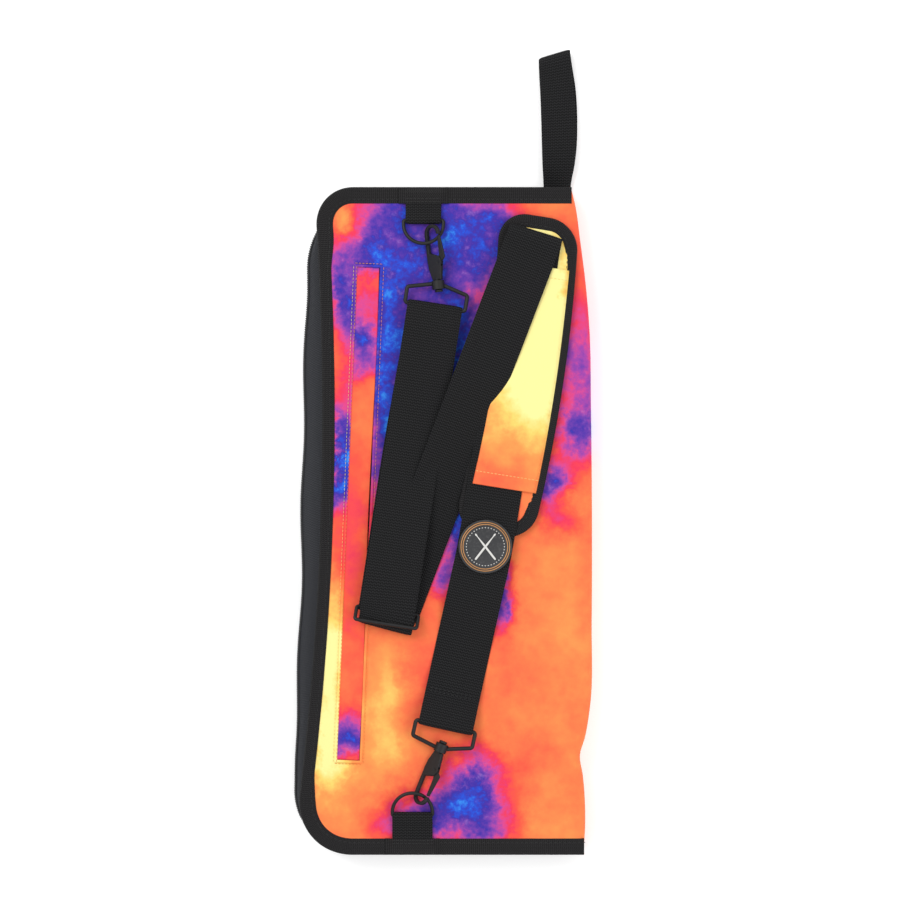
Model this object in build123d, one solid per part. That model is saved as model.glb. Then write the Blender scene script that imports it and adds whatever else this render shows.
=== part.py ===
from build123d import *
import os
from math import atan2, cos, degrees, hypot, radians, sin, tan

# Drum stick bag lying on its back half, front half and shoulder strap upwards.
# Millimetres. X runs across the bag to the spine, Y up to the hang loop, Z up.
# The origin is the middle of the back half's flat face.

# ---- driving dimensions: padded halves -------------------------------------
BAG_HEIGHT = 461.0        # top edge to bottom edge
HALF_HEIGHT = BAG_HEIGHT / 2
PANEL_RIGHT = 93.7        # panel edges beside the spine
TOP_CORNER_R = 27.0       # rounding of the outer corners by the hang loop end
BOTTOM_CORNER_R = 38.0    # rounding of the outer corners at the foot
FRONT_LEFT = (-92.2, -107.5, 12.3)   # left edge of the front half: top, foot, bow
BACK_LEFT = (-94.0, -106.5, 1.0)     # left edge of the back half
ZIP_LEFT = (-96.0, -107.0, 1.7)      # left run of the zip
SHELL_T = 1.2             # outer fabric
FOAM_T = 3.6
LINING_T = 1.2
CAVITY = 16.0             # room between the two halves
BINDING_W = 12.0          # binding tape on the face of a half
BINDING_T = 1.2

# ---- spine -----------------------------------------------------------------
SPINE_FIT = 0.3           # between a panel's edge and the spine
SPINE_SKIN = 1.2
SPINE_END_GAP = 1.0       # spine ends inside the top and bottom edges

# ---- zip -------------------------------------------------------------------
ZIP_INSET = 4.5           # zip line inside the top and bottom edges
TAPE_T = 0.8
COIL_W = 2.0
COIL_H = 1.6
COIL_GAP = 1.2            # between the two coils
ZIP_RIGHT = PANEL_RIGHT - 2.7
STOP_LENGTH = 3.0
SLIDER_LENGTH = 12.0
SLIDER_HEIGHT = 8.4
SLIDER_PLATE = 1.2
SLIDER_FIT = 0.3
SLIDER_X = PANEL_RIGHT - 21.7    # slider's middle with the bag closed
SLIDER_POST = 0.6
PULL_PIN_R = 0.7
PULL_BORE_R = 0.8
PULL_EYE_R = 1.5
PULL_LENGTH = 26.0
PULL_WIDTH = 6.0
PULL_T = 1.2
PULL_EAR = 1.2

# ---- inner stick pocket ----------------------------------------------------
POCKET_TOP = 90.0         # mouth of the stick pocket
POCKET_FOOT = -HALF_HEIGHT + 18.5
POCKET_LEFT = -78.0
CHANNEL_COUNT = 3
CHANNEL_W = 50.0
CHANNEL_H = 9.0
SEAM_W = 4.0              # flat seam between channels
POCKET_T = 1.0
HEM_W = 10.0

# ---- outer pocket ----------------------------------------------------------
WINDOW_TOP = (-54.3, HALF_HEIGHT - 53.5)      # middle of the pocket window's upper end
WINDOW_FOOT = (-68.5, -HALF_HEIGHT + 63.5)    # middle of its lower end
WINDOW_LEAN = degrees(atan2(WINDOW_TOP[0] - WINDOW_FOOT[0], WINDOW_TOP[1] - WINDOW_FOOT[1]))
WINDOW_LENGTH = hypot(WINDOW_TOP[0] - WINDOW_FOOT[0], WINDOW_TOP[1] - WINDOW_FOOT[1])
WINDOW_W = 19.5
FACING_W = 2.0
LIP_GAP = 0.4
LIP_T = 1.1
LIP_FREE_FROM = 152.0     # the lip lifts above this length; the strap holds it down below
POUCH_W = 120.0
POUCH_DEPTH = 1.6

# ---- hang loop -------------------------------------------------------------
HANG_X = PANEL_RIGHT - 16.7
HANG_W = 25.0
HANG_T = 1.6
HANG_GAP = 5.6
HANG_PIVOT_Y = HALF_HEIGHT + 8.0
HANG_TOP_Y = HALF_HEIGHT + 97.5
HANG_ROOT_Y = HALF_HEIGHT - 11.5
HANG_ROOT_T = 3.2

# ---- webbing and rings -----------------------------------------------------
WEB_W = 38.0
WEB_T = 1.3
GAP = 0.3                 # clearance between pieces that slide past each other
TAB_W = 24.6
TAB_T = 1.2
TOP_TAB = (-16.6, HALF_HEIGHT - 25.8)         # middle of a tab and the edge where its ring shows
BOTTOM_TAB = (-24.2, -HALF_HEIGHT + 30.1)
RING_WIRE_R = 1.25
RING_W = 30.0             # outside width of a D-ring
RING_DEPTH = 19.0         # outside depth of a D-ring
RING_BEND_R = 1.4
RING_FIT = 0.15
RING_BAR_RISE = 2.7       # bar's middle above the front face
RING_TILT = (12.0, 14.0)  # rise of the top and bottom ring while their hooks are clipped on

# ---- snap hooks ------------------------------------------------------------
LOOP_WIRE_R = 1.4
LOOP_HALF = 20.9          # half width between the wire's centre lines
LOOP_BEND = 1.8
LOOP_LEG = 11.0
LOOP_SHOULDER = 15.3
COLLAR_R = 4.4
COLLAR_LENGTH = 6.0
STEM_R = 1.6
STEM_FIT = 0.1
RIVET_HEAD_R = 2.8
RIVET_HEAD_T = 1.6
HOOK_T = 2.6              # thickness of the hook body
HOOK_EYE_R = 6.65         # outside of the eye
HOOK_WIRE = 2.4
HOOK_EYE_V = 32.0         # eye centre from the collar
HOOK_NECK = 3.7
HOOK_BODY = 6.2
HOOK_ROLL = (-43.0, 224.0)       # roll of the top and bottom hook about their swivels, clipped on
HOOK_LEAN = (-6.5, 22.0)         # lean of the two hooks
GATE_PIVOT = (3.2, 12.0)
GATE_ROOT_R = 2.4
GATE_T = 1.3
GATE_PIN_R = 0.8
GATE_FIT = 0.25
TIP_ANGLE = -8.0          # where the eye's tip ends, from the hook's side

# ---- shoulder strap --------------------------------------------------------
SLEEVE_LEAN = 9.04        # lean of the run inside the pad
MIDDLE_LEAN = 20.9
BEND_POINT = (26.0, -17.5)       # where the lower run turns into the sleeve
TOP_FOLD = (60.2, 196.0)
BOTTOM_FOLD = (-42.5, -70.4)
UPPER_BAR = (-8.7, TOP_TAB[1] - 57.2)         # middle of the upper strap loop's bar
LOWER_BAR = (-1.2, BOTTOM_TAB[1] + 59.4)
UPPER_LEAN = degrees(atan2(UPPER_BAR[0] - BOTTOM_FOLD[0], UPPER_BAR[1] - BOTTOM_FOLD[1]))
LOWER_LEAN = degrees(atan2(BEND_POINT[0] - LOWER_BAR[0], BEND_POINT[1] - LOWER_BAR[1]))
TAIL_LENGTH = 25.0
ADJUST_TRAVEL = 40.0
ADJUSTER_WIRE_R = 1.25
ADJUSTER_HALF = 21.5
ADJUSTER_SPAN = 9.0

# ---- shoulder pad and badge ------------------------------------------------
PAD_W = 55.0
PAD_LENGTH = 222.0
PAD_T = 4.5
PAD_BASE_T = 0.8
PAD_BINDING_W = 9.0
PAD_FOOT = (33.6, -10.0)
SLEEVE_W = 47.0
SLEEVE_SIDE_FIT = 0.7
SLEEVE_LENGTH = 155.0
SLEEVE_START = 33.0       # sleeve's lower edge from the pad's foot
SLEEVE_T = 0.8
BADGE_R = 18.5
BADGE_T = 2.2
BADGE_RING = (15.0, 17.2)
BADGE_RING_T = 0.3

# ---- levels ----------------------------------------------------------------
PANEL_T = SHELL_T + FOAM_T + LINING_T
FRONT_Z = PANEL_T + CAVITY
TOP_Z = FRONT_Z + PANEL_T
ZIP_Z = (PANEL_T + FRONT_Z) / 2
SPINE_X = PANEL_RIGHT + SPINE_FIT + PANEL_T / 2      # line through both fold axes
FOLD_LOW_Z = PANEL_T / 2
FOLD_HIGH_Z = FRONT_Z + PANEL_T / 2
ON_PANEL_Z = TOP_Z + GAP + WEB_T / 2
PAD_TOP_Z = TOP_Z + GAP + PAD_T
SLEEVED_Z = PAD_TOP_Z + GAP + WEB_T / 2
SLEEVE_TOP_Z = SLEEVED_Z + WEB_T / 2 + GAP + SLEEVE_T
MIDDLE_Z = SLEEVE_TOP_Z + GAP + WEB_T / 2
TAIL_LOOP_R = ADJUSTER_WIRE_R + 0.1 + WEB_T
TAIL_BAR_Z = ON_PANEL_Z + WEB_T / 2 + GAP + TAIL_LOOP_R
RETURN_Z = TAIL_BAR_Z + TAIL_LOOP_R - WEB_T / 2
UPPER_Z = RETURN_Z + WEB_T + GAP
LOOP_BEND_R = LOOP_WIRE_R + 0.1 + WEB_T / 2
UPPER_BAR_Z = UPPER_Z - LOOP_BEND_R
LOWER_BAR_Z = UPPER_BAR_Z

PARTS = {}
HOOK_PLACES = {}
RING_BARS = {}


# ---- helpers ---------------------------------------------------------------
def heading(lean):
    """Unit vector of a run that leans from +Y towards +X."""
    return Vector(sin(radians(lean)), cos(radians(lean)), 0)


def placed(solid, point, lean, height=0.0):
    """Turn a solid built along +Y to its lean and move it to a point."""
    return Location((point[0], point[1], height), (0, 0, -lean)) * solid


def along(point, lean, distance):
    """Point at a distance up a run."""
    step = heading(lean) * distance
    return (point[0] + step.X, point[1] + step.Y)


def outline(left, inset=0.0, ends_inset=0.0, right=PANEL_RIGHT):
    """Outline of a half: straight ends and spine side, bowed left side, two round corners."""
    top = HALF_HEIGHT - ends_inset - inset
    left_top, left_foot, bow = left
    corner_top = (left_top + inset, top)
    corner_foot = (left_foot + inset, -top)
    middle = ((left_top + left_foot) / 2 + inset + bow, 0)
    edges = [
        Line((right, top), corner_top),
        ThreePointArc(corner_top, middle, corner_foot),
        Line(corner_foot, (right, -top)),
        Line((right, -top), (right, top)),
    ]
    face = make_face(edges)
    for corner, radius in ((corner_top, TOP_CORNER_R), (corner_foot, BOTTOM_CORNER_R)):
        nearest = face.vertices().sort_by_distance((corner[0], corner[1], 0))[0]
        face = fillet(nearest, radius - inset - ends_inset)
    return face


def slab(face, low, high):
    """Flat layer between two heights."""
    return Pos(0, 0, low) * extrude(face, high - low)


def ribbon(path, width):
    """Webbing with the side view of a path of (distance, height), centred across X."""
    side = Plane.YZ * trace(path, WEB_T)
    return extrude(side, width / 2, both=True)


def cylinder_along(radius, start, end):
    """Round bar between two points."""
    start, end = Vector(*start), Vector(*end)
    bar = Plane(origin=start, z_dir=end - start) * Circle(radius)
    return extrude(bar, (end - start).length)


def tapered_wall(low_left, high_left, low_z, high_z, thickness):
    """Three-sided wall that leans from one outline to another, open at the spine."""
    reach = PANEL_RIGHT - 1.0
    outer = loft([
        Pos(0, 0, low_z) * outline(low_left, 0, ZIP_INSET - thickness / 2, reach),
        Pos(0, 0, high_z) * outline(high_left, 0, ZIP_INSET - thickness / 2, reach),
    ])
    inner = loft([
        Pos(0, 0, low_z) * outline(low_left, thickness, ZIP_INSET - thickness / 2, reach + 1),
        Pos(0, 0, high_z) * outline(high_left, thickness, ZIP_INSET - thickness / 2, reach + 1),
    ])
    return outer - inner


# ---- padded halves ---------------------------------------------------------
def window_box(width, low, high, shorten=0.0):
    """Upright box in the pocket window's place, reaching between two heights."""
    return window_piece(width, low, high, shorten, WINDOW_LENGTH - shorten)


def window_piece(width, low, high, start, end):
    """Part of the window's box between two distances from its lower end."""
    box = Box(width, end - start, high - low, align=(Align.CENTER, Align.MIN, Align.MIN))
    return placed(box, along(WINDOW_FOOT, WINDOW_LEAN, start), WINDOW_LEAN, low)


def make_half(name, left, base, shell_low):
    """Fabric, foam, lining and binding of one half, flush with each other."""
    shell_z = base if shell_low else base + PANEL_T - SHELL_T
    lining_z = base + PANEL_T - LINING_T if shell_low else base
    foam_z = base + (SHELL_T if shell_low else LINING_T)
    inside = outline(left, BINDING_W)
    PARTS[name + "_shell"] = slab(inside, shell_z, shell_z + SHELL_T)
    PARTS[name + "_lining"] = slab(inside, lining_z, lining_z + LINING_T)
    foam = slab(outline(left, BINDING_T), foam_z, foam_z + FOAM_T)
    PARTS[name + "_foam"] = foam
    ring = slab(outline(left), base, base + PANEL_T) - foam
    inside_open = outline(left, BINDING_W, 0, PANEL_RIGHT + 1)
    PARTS[name + "_binding"] = ring - slab(inside_open, base - 1, base + PANEL_T + 1)


def make_hang_loop():
    """Webbing loop at the top edge and its sewn end inside the back half's binding."""
    root_z = PANEL_T / 2
    root_r = HANG_ROOT_T / 2
    root_end = HANG_PIVOT_Y - 2 * root_r
    root = Box(HANG_W, root_end - HANG_ROOT_Y, HANG_ROOT_T, align=(Align.CENTER, Align.MIN, Align.CENTER))
    root = Pos(HANG_X, HANG_ROOT_Y, root_z) * root
    PARTS["hang_loop_root"] = root
    PARTS["back_foam"] -= root
    PARTS["back_binding"] -= root
    low = 0.2 + HANG_T / 2
    high = low + HANG_T + HANG_GAP
    bend = (high - low) / 2
    neck = HANG_PIVOT_Y + 9.0
    tip = HANG_TOP_Y - HANG_T / 2 - bend
    body = make_face(Polyline(
        (HANG_PIVOT_Y, root_z - root_r), (neck, low - HANG_T / 2), (tip, low - HANG_T / 2),
        (tip, high + HANG_T / 2), (neck, high + HANG_T / 2), (HANG_PIVOT_Y, root_z + root_r), close=True))
    body += Pos(tip, low + bend) * Circle(bend + HANG_T / 2)
    body += Pos(HANG_PIVOT_Y, root_z) * Circle(root_r)
    hollow = make_face(Polyline(
        (HANG_PIVOT_Y + 3.0, root_z), (neck, low + HANG_T / 2), (tip, low + HANG_T / 2),
        (tip, high - HANG_T / 2), (neck, high - HANG_T / 2), close=True))
    hollow += Pos(tip, low + bend) * Circle(bend - HANG_T / 2)
    loop = extrude(Plane.YZ * (body - hollow), HANG_W / 2, both=True)
    PARTS["hang_loop"] = Pos(HANG_X, 0, 0) * loop


def make_spine():
    """Padded strip between the halves, rounded about both fold axes."""
    length = BAG_HEIGHT - 2 * SPINE_END_GAP

    def stadium(radius):
        height = FOLD_HIGH_Z - FOLD_LOW_Z
        middle = (FOLD_HIGH_Z + FOLD_LOW_Z) / 2
        face = Pos(SPINE_X, middle) * SlotCenterToCenter(height, 2 * radius, rotation=90)
        return extrude(Plane.XZ * face, length / 2, both=True)

    foam = stadium(PANEL_T / 2 - SPINE_SKIN)
    PARTS["spine_shell"] = stadium(PANEL_T / 2) - foam
    PARTS["spine_foam"] = foam


def make_stick_pocket():
    """Inner panel sewn into arched channels that are open at the top and closed at the foot."""
    pitch = CHANNEL_W + SEAM_W
    length = POCKET_TOP - POCKET_FOOT
    base = PANEL_T + 0.02
    width = CHANNEL_COUNT * pitch + SEAM_W
    middle = (POCKET_LEFT + width / 2, POCKET_FOOT + length / 2)
    panel = Pos(*middle, base + POCKET_T / 2) * Box(width, length, POCKET_T)
    for index in range(CHANNEL_COUNT):
        centre = POCKET_LEFT + SEAM_W + pitch * index + CHANNEL_W / 2

        def arch(grow):
            half = CHANNEL_W / 2 + grow
            rise = CHANNEL_H + grow
            return make_face([
                ThreePointArc((-half, 0), (0, rise), (half, 0)),
                Line((half, 0), (-half, 0)),
            ])

        cover = extrude(Plane.XZ * arch(0), -length)
        hollow = extrude(Plane.XZ * arch(-POCKET_T), -length)
        panel += Pos(centre, POCKET_FOOT, base) * cover
        panel -= Pos(centre, POCKET_FOOT + SEAM_W, base) * hollow
        floor_cut = Box(CHANNEL_W - 2 * POCKET_T, length, 0.01)
        panel -= Pos(centre, middle[1] + SEAM_W, base) * floor_cut
    hem_band = Box(width + 2, HEM_W, 4 * CHANNEL_H)
    hem_band = Pos(middle[0], POCKET_TOP - HEM_W / 2, base + CHANNEL_H) * hem_band
    PARTS["stick_pocket_hem"] = panel & hem_band
    PARTS["stick_pocket"] = panel - hem_band


def make_zip():
    """Tapes, coils, end stops, slider and pull."""
    half_gap = COIL_GAP / 2
    back_low = PANEL_T
    back_high = ZIP_Z - half_gap - COIL_H
    front_low = ZIP_Z + half_gap + COIL_H
    PARTS["back_zip_tape"] = tapered_wall(BACK_LEFT, ZIP_LEFT, back_low, back_high, TAPE_T)
    PARTS["front_zip_tape"] = tapered_wall(ZIP_LEFT, FRONT_LEFT, front_low, FRONT_Z, TAPE_T)
    offset_out = -(COIL_W - TAPE_T) / 2
    line_inset = ZIP_INSET - TAPE_T / 2
    reach = ZIP_RIGHT
    outer = outline(ZIP_LEFT, offset_out, line_inset, reach)
    inner = outline(ZIP_LEFT, offset_out + COIL_W, line_inset, reach + 1)
    coil = extrude(outer - inner, COIL_H)
    stop_zone = Box(STOP_LENGTH, 2 * BAG_HEIGHT, 4 * COIL_H + COIL_GAP)
    stop_zone = Pos(ZIP_RIGHT - STOP_LENGTH / 2, 0, ZIP_Z) * stop_zone
    for name, low in (("back", back_high), ("front", front_low - COIL_H)):
        PARTS[name + "_zip_coil"] = Pos(0, 0, low) * coil - stop_zone
    PARTS["zip_end_stops"] = Pos(0, 0, back_high) * coil & stop_zone

    line_y = -(HALF_HEIGHT - ZIP_INSET)
    plate_in = COIL_W / 2 + SLIDER_FIT
    slider = Part()
    for side in (-1, 1):
        slider += Pos(SLIDER_X, line_y + side * (plate_in + SLIDER_PLATE / 2), ZIP_Z) * Box(
            SLIDER_LENGTH, SLIDER_PLATE, SLIDER_HEIGHT)
    slider += Pos(SLIDER_X + SLIDER_LENGTH / 2 - 1.0, line_y, ZIP_Z) * Box(2.0, 2 * plate_in, SLIDER_POST)
    pin_y = line_y - plate_in - SLIDER_PLATE - PULL_EYE_R - 0.4
    ear_half = PULL_WIDTH / 2 + SLIDER_FIT + PULL_EAR
    plate_face = line_y - plate_in - SLIDER_PLATE
    for side in (-1, 1):
        ear = Box(2.4, plate_face - pin_y + 1.2, PULL_EAR, align=(Align.CENTER, Align.MAX, Align.CENTER))
        slider += Pos(SLIDER_X, plate_face, ZIP_Z + side * (ear_half - PULL_EAR / 2)) * ear

    def upright_bar(radius, half):
        return cylinder_along(radius, (SLIDER_X, pin_y, ZIP_Z - half), (SLIDER_X, pin_y, ZIP_Z + half))

    PARTS["zip_slider"] = slider + upright_bar(PULL_PIN_R, ear_half)
    blade = Box(PULL_LENGTH, PULL_T, PULL_WIDTH, align=(Align.MAX, Align.CENTER, Align.CENTER))
    pull = upright_bar(PULL_EYE_R, PULL_WIDTH / 2) + Pos(SLIDER_X, pin_y, ZIP_Z) * blade
    hole = Pos(SLIDER_X - PULL_LENGTH + 5.0, pin_y, ZIP_Z) * Rot(90, 0, 0) * Cylinder(1.6, 3 * PULL_T)
    PARTS["zip_pull"] = pull - upright_bar(PULL_BORE_R, PULL_WIDTH) - hole


def make_outer_pocket():
    """Window in the printed face with its sewn edge, the lip that closes it and the pouch."""
    shell_low = TOP_Z - SHELL_T
    opening = window_box(WINDOW_W, shell_low - 1, TOP_Z + 1)
    inner = window_box(WINDOW_W - 2 * FACING_W, shell_low - 2, TOP_Z + 2, FACING_W)
    frame = window_box(WINDOW_W, shell_low, TOP_Z)
    PARTS["front_shell"] -= opening
    PARTS["pocket_facing"] = frame - inner
    margin = FACING_W + LIP_GAP
    lip_w = WINDOW_W - 2 * margin
    lip_low = TOP_Z - LIP_T
    PARTS["pocket_lip"] = window_piece(lip_w, lip_low, TOP_Z, LIP_FREE_FROM, WINDOW_LENGTH - margin)
    PARTS["pocket_lip_foot"] = window_piece(lip_w, lip_low, TOP_Z, margin, LIP_FREE_FROM - LIP_GAP)
    pouch_low = shell_low - POUCH_DEPTH
    length = WINDOW_TOP[1] - WINDOW_FOOT[1] - 4 * FACING_W
    pouch = Box(POUCH_W, length, POUCH_DEPTH, align=(Align.MIN, Align.MIN, Align.MIN))
    hollow = Box(POUCH_W - 2, length - 2, POUCH_DEPTH - 0.8, align=(Align.MIN, Align.MIN, Align.MIN))
    mouth = window_box(WINDOW_W - 2 * FACING_W - 2, shell_low - 0.5, TOP_Z, 4 * FACING_W)
    corner_x = WINDOW_TOP[0] - WINDOW_W / 2 + FACING_W
    place = (corner_x - (WINDOW_TOP[0] - WINDOW_FOOT[0]), WINDOW_FOOT[1] + 2 * FACING_W)
    bag = placed(pouch, place, WINDOW_LEAN, pouch_low)
    PARTS["front_foam"] -= bag
    bag -= placed(Pos(1, 1, 0) * hollow, place, WINDOW_LEAN, pouch_low + 0.4)
    PARTS["pocket_bag"] = bag - mouth


# ---- rings and hooks -------------------------------------------------------
def make_ring(name, tab_x, tab_edge_y, side, tilt):
    """Webbing tab sewn at the binding and the D-ring whose bar it holds; side +1 at the top edge."""
    bar_y = tab_edge_y + side * TAIL_LOOP_R
    bar_z = TOP_Z + RING_BAR_RISE
    seam_y = side * (HALF_HEIGHT - BINDING_W - 0.3)
    reach = abs(seam_y - bar_y)
    bore = RING_WIRE_R + RING_FIT
    loop_r = bore + TAB_T
    profile = Circle(loop_r) + Pos(reach / 2, (TOP_Z + TAB_T - bar_z)) * Rectangle(reach, 2 * TAB_T)
    profile += make_face(Polyline(
        (0, -loop_r), (reach * 0.6, TOP_Z - bar_z), (reach * 0.6, TOP_Z + 2 * TAB_T - bar_z), (0, loop_r),
        close=True))
    cut_below = Pos(0, TOP_Z - bar_z - 5) * Rectangle(4 * reach, 10)
    profile = profile - Circle(bore) - cut_below
    tab = extrude(Plane.YZ * profile, TAB_W / 2, both=True)
    turn = 0 if side > 0 else 180
    PARTS[name + "_ring_tab"] = Pos(tab_x, bar_y, bar_z) * Rot(0, 0, turn) * tab

    half = RING_W / 2 - RING_WIRE_R
    depth = RING_DEPTH - 2 * RING_WIRE_R
    path = FilletPolyline(
        (0, 0), (half, 0), (half, -depth), (-half, -depth), (-half, 0),
        radius=[0, RING_BEND_R, half - 0.1, half - 0.1, RING_BEND_R], close=True)
    start = Plane(origin=path @ 0, z_dir=path % 0)
    ring = sweep(start * Circle(RING_WIRE_R), path=path)
    placed_ring = Pos(tab_x, bar_y, bar_z) * Rot(0, 0, turn) * Rot(-tilt, 0, 0) * ring
    PARTS[name + "_d_ring"] = placed_ring
    RING_BARS[name] = (tab_x, bar_y, bar_z)


def make_hook(name, bar, bar_z, strap_lean, hook_lean, roll, side):
    """Strap loop, swivelling hook, gate, rivet and spring; side +1 points up the bag."""
    turn = -strap_lean if side > 0 else 180 - strap_lean
    place = Location((bar[0], bar[1], bar_z), (0, 0, turn))
    wire = FilletPolyline(
        (0, 0), (LOOP_HALF, 0), (LOOP_HALF, LOOP_LEG), (COLLAR_R, LOOP_SHOULDER),
        (-COLLAR_R, LOOP_SHOULDER), (-LOOP_HALF, LOOP_LEG), (-LOOP_HALF, 0),
        radius=[0, LOOP_BEND, LOOP_BEND, 4.0, 4.0, LOOP_BEND, LOOP_BEND], close=True)
    start = Plane(origin=wire @ 0, z_dir=wire % 0)
    loop = sweep(start * Circle(LOOP_WIRE_R), path=wire)
    swing = hook_lean - strap_lean
    axis_turn = Location((0, LOOP_SHOULDER, 0), (0, 0, -swing))
    collar_foot = -COLLAR_LENGTH / 2
    collar = cylinder_along(COLLAR_R, (0, collar_foot, 0), (0, -collar_foot, 0))
    bore = cylinder_along(STEM_R + STEM_FIT, (0, -COLLAR_LENGTH, 0), (0, COLLAR_LENGTH, 0))
    head_room = cylinder_along(
        RIVET_HEAD_R + GAP, (0, collar_foot - RIVET_HEAD_T - 2 * GAP, 0), (0, collar_foot, 0))
    loop = loop + axis_turn * collar - axis_turn * bore - axis_turn * head_room
    PARTS[name + "_strap_loop"] = place * loop

    hook_place = place * axis_turn * Location((0, COLLAR_LENGTH / 2 + GAP, 0), (0, 0, 0)) * Rot(0, roll, 0)
    eye = Pos(0, HOOK_EYE_V) * (Circle(HOOK_EYE_R) - Circle(HOOK_EYE_R - HOOK_WIRE))
    tip = Vector(cos(radians(TIP_ANGLE)), sin(radians(TIP_ANGLE)))
    below = make_face(Polyline(
        (0, HOOK_EYE_V), (2 * HOOK_EYE_R * tip.X, HOOK_EYE_V + 2 * HOOK_EYE_R * tip.Y),
        (2 * HOOK_EYE_R, HOOK_EYE_V - 3 * HOOK_EYE_R), (-2 * HOOK_EYE_R, HOOK_EYE_V - 3 * HOOK_EYE_R),
        (-2 * HOOK_EYE_R, HOOK_EYE_V), close=True))
    arm_x = -HOOK_EYE_R + HOOK_WIRE / 2
    arm = Pos(arm_x, (HOOK_EYE_V + GATE_PIVOT[1]) / 2) * Rectangle(HOOK_WIRE, HOOK_EYE_V - GATE_PIVOT[1])
    body = make_face(Polyline(
        (-HOOK_NECK, 0), (HOOK_NECK, 0), (HOOK_BODY - 1, 8), (HOOK_BODY, 13), (HOOK_BODY - 1.5, 16),
        (-HOOK_EYE_R + HOOK_WIRE, 19), (-HOOK_EYE_R, 14), (-HOOK_BODY, 8), close=True))
    claw = extrude((eye - below) + arm + body, HOOK_T / 2, both=True)
    slot_half = GATE_T / 2 + GATE_FIT
    room = Pos(*GATE_PIVOT) * Circle(GATE_ROOT_R + GATE_FIT)
    pivot_x, pivot_y = GATE_PIVOT
    clear_r = GATE_ROOT_R + GATE_FIT
    room += make_face(Polyline(
        (pivot_x - clear_r - 3.2, pivot_y + 9), (pivot_x - clear_r, pivot_y), (pivot_x, pivot_y - clear_r),
        (pivot_x + 9, pivot_y - GATE_ROOT_R), (pivot_x + 9, pivot_y + 9), close=True))
    claw -= extrude(room, slot_half, both=True)
    pin_a = (GATE_PIVOT[0], GATE_PIVOT[1], -HOOK_T / 2)
    pin_b = (GATE_PIVOT[0], GATE_PIVOT[1], HOOK_T / 2)
    rivet = cylinder_along(GATE_PIN_R, pin_a, pin_b)
    claw -= rivet
    stem_foot = -COLLAR_LENGTH - 2 * GAP
    claw += cylinder_along(STEM_R, (0, stem_foot, 0), (0, 1, 0))
    claw += cylinder_along(RIVET_HEAD_R, (0, stem_foot - RIVET_HEAD_T, 0), (0, stem_foot, 0))
    lever = Pos(*GATE_PIVOT) * Circle(GATE_ROOT_R)
    gate_top = HOOK_EYE_V + HOOK_EYE_R * tip.Y - GATE_FIT - 0.2
    outer_x = HOOK_EYE_R
    lever += make_face(Polyline(
        (GATE_PIVOT[0] - 1.4, GATE_PIVOT[1]), (GATE_PIVOT[0] + GATE_ROOT_R, GATE_PIVOT[1]),
        (outer_x + 2.4, GATE_PIVOT[1] + 3), (outer_x + 2.2, GATE_PIVOT[1] + 5.5), (outer_x, gate_top),
        (outer_x - HOOK_WIRE, gate_top), (outer_x - HOOK_WIRE, GATE_PIVOT[1] + 6), close=True))
    gate = extrude(lever, GATE_T / 2, both=True)
    gate -= cylinder_along(GATE_PIN_R + 0.06, pin_a, pin_b)
    spring_v = GATE_PIVOT[1] - GATE_ROOT_R - GATE_FIT - 1.6
    spring = Pos(GATE_PIVOT[0] - 1.2, spring_v, 0) * Box(3.0, 1.6, 0.8)
    claw -= spring
    PARTS[name + "_hook"] = hook_place * claw
    PARTS[name + "_gate"] = hook_place * gate
    PARTS[name + "_gate_rivet"] = hook_place * rivet
    PARTS[name + "_gate_spring"] = hook_place * spring
    HOOK_PLACES[name] = hook_place


# ---- strap, pad and badge --------------------------------------------------
def make_lower_strap():
    """Run from the lower strap loop up to the pad, and the run through the sleeve."""
    bend = LOOP_BEND_R
    tail_end = 24.0
    ramp_start, ramp_end = 62.0, 96.0
    length = hypot(BEND_POINT[0] - LOWER_BAR[0], BEND_POINT[1] - LOWER_BAR[1])
    tail = FilletPolyline(
        (tail_end, ON_PANEL_Z), (tail_end - 8, ON_PANEL_Z), (4, LOWER_BAR_Z - bend), (0, LOWER_BAR_Z - bend),
        radius=6)
    turn = ThreePointArc((0, LOWER_BAR_Z - bend), (-bend, LOWER_BAR_Z), (0, LOWER_BAR_Z + bend))
    main = FilletPolyline(
        (0, LOWER_BAR_Z + bend), (3, LOWER_BAR_Z + bend), (tail_end - 2, ON_PANEL_Z + WEB_T + GAP),
        (tail_end + 4, ON_PANEL_Z + WEB_T + GAP), (tail_end + 18, ON_PANEL_Z), (ramp_start, ON_PANEL_Z),
        (ramp_end, SLEEVED_Z), (length, SLEEVED_Z), radius=6)
    run = ribbon(tail + turn + main, WEB_W)
    run = placed(run, LOWER_BAR, LOWER_LEAN)
    knee = Pos(BEND_POINT[0], BEND_POINT[1], SLEEVED_Z) * Cylinder(WEB_W / 2, WEB_T)
    sleeved = hypot(TOP_FOLD[0] - BEND_POINT[0], TOP_FOLD[1] - BEND_POINT[1]) - 4.0
    upper = Box(WEB_W, sleeved, WEB_T, align=(Align.CENTER, Align.MIN, Align.CENTER))
    upper = placed(upper, BEND_POINT, SLEEVE_LEAN, SLEEVED_Z)
    PARTS["strap_lower_run"] = run + knee + upper


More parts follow.
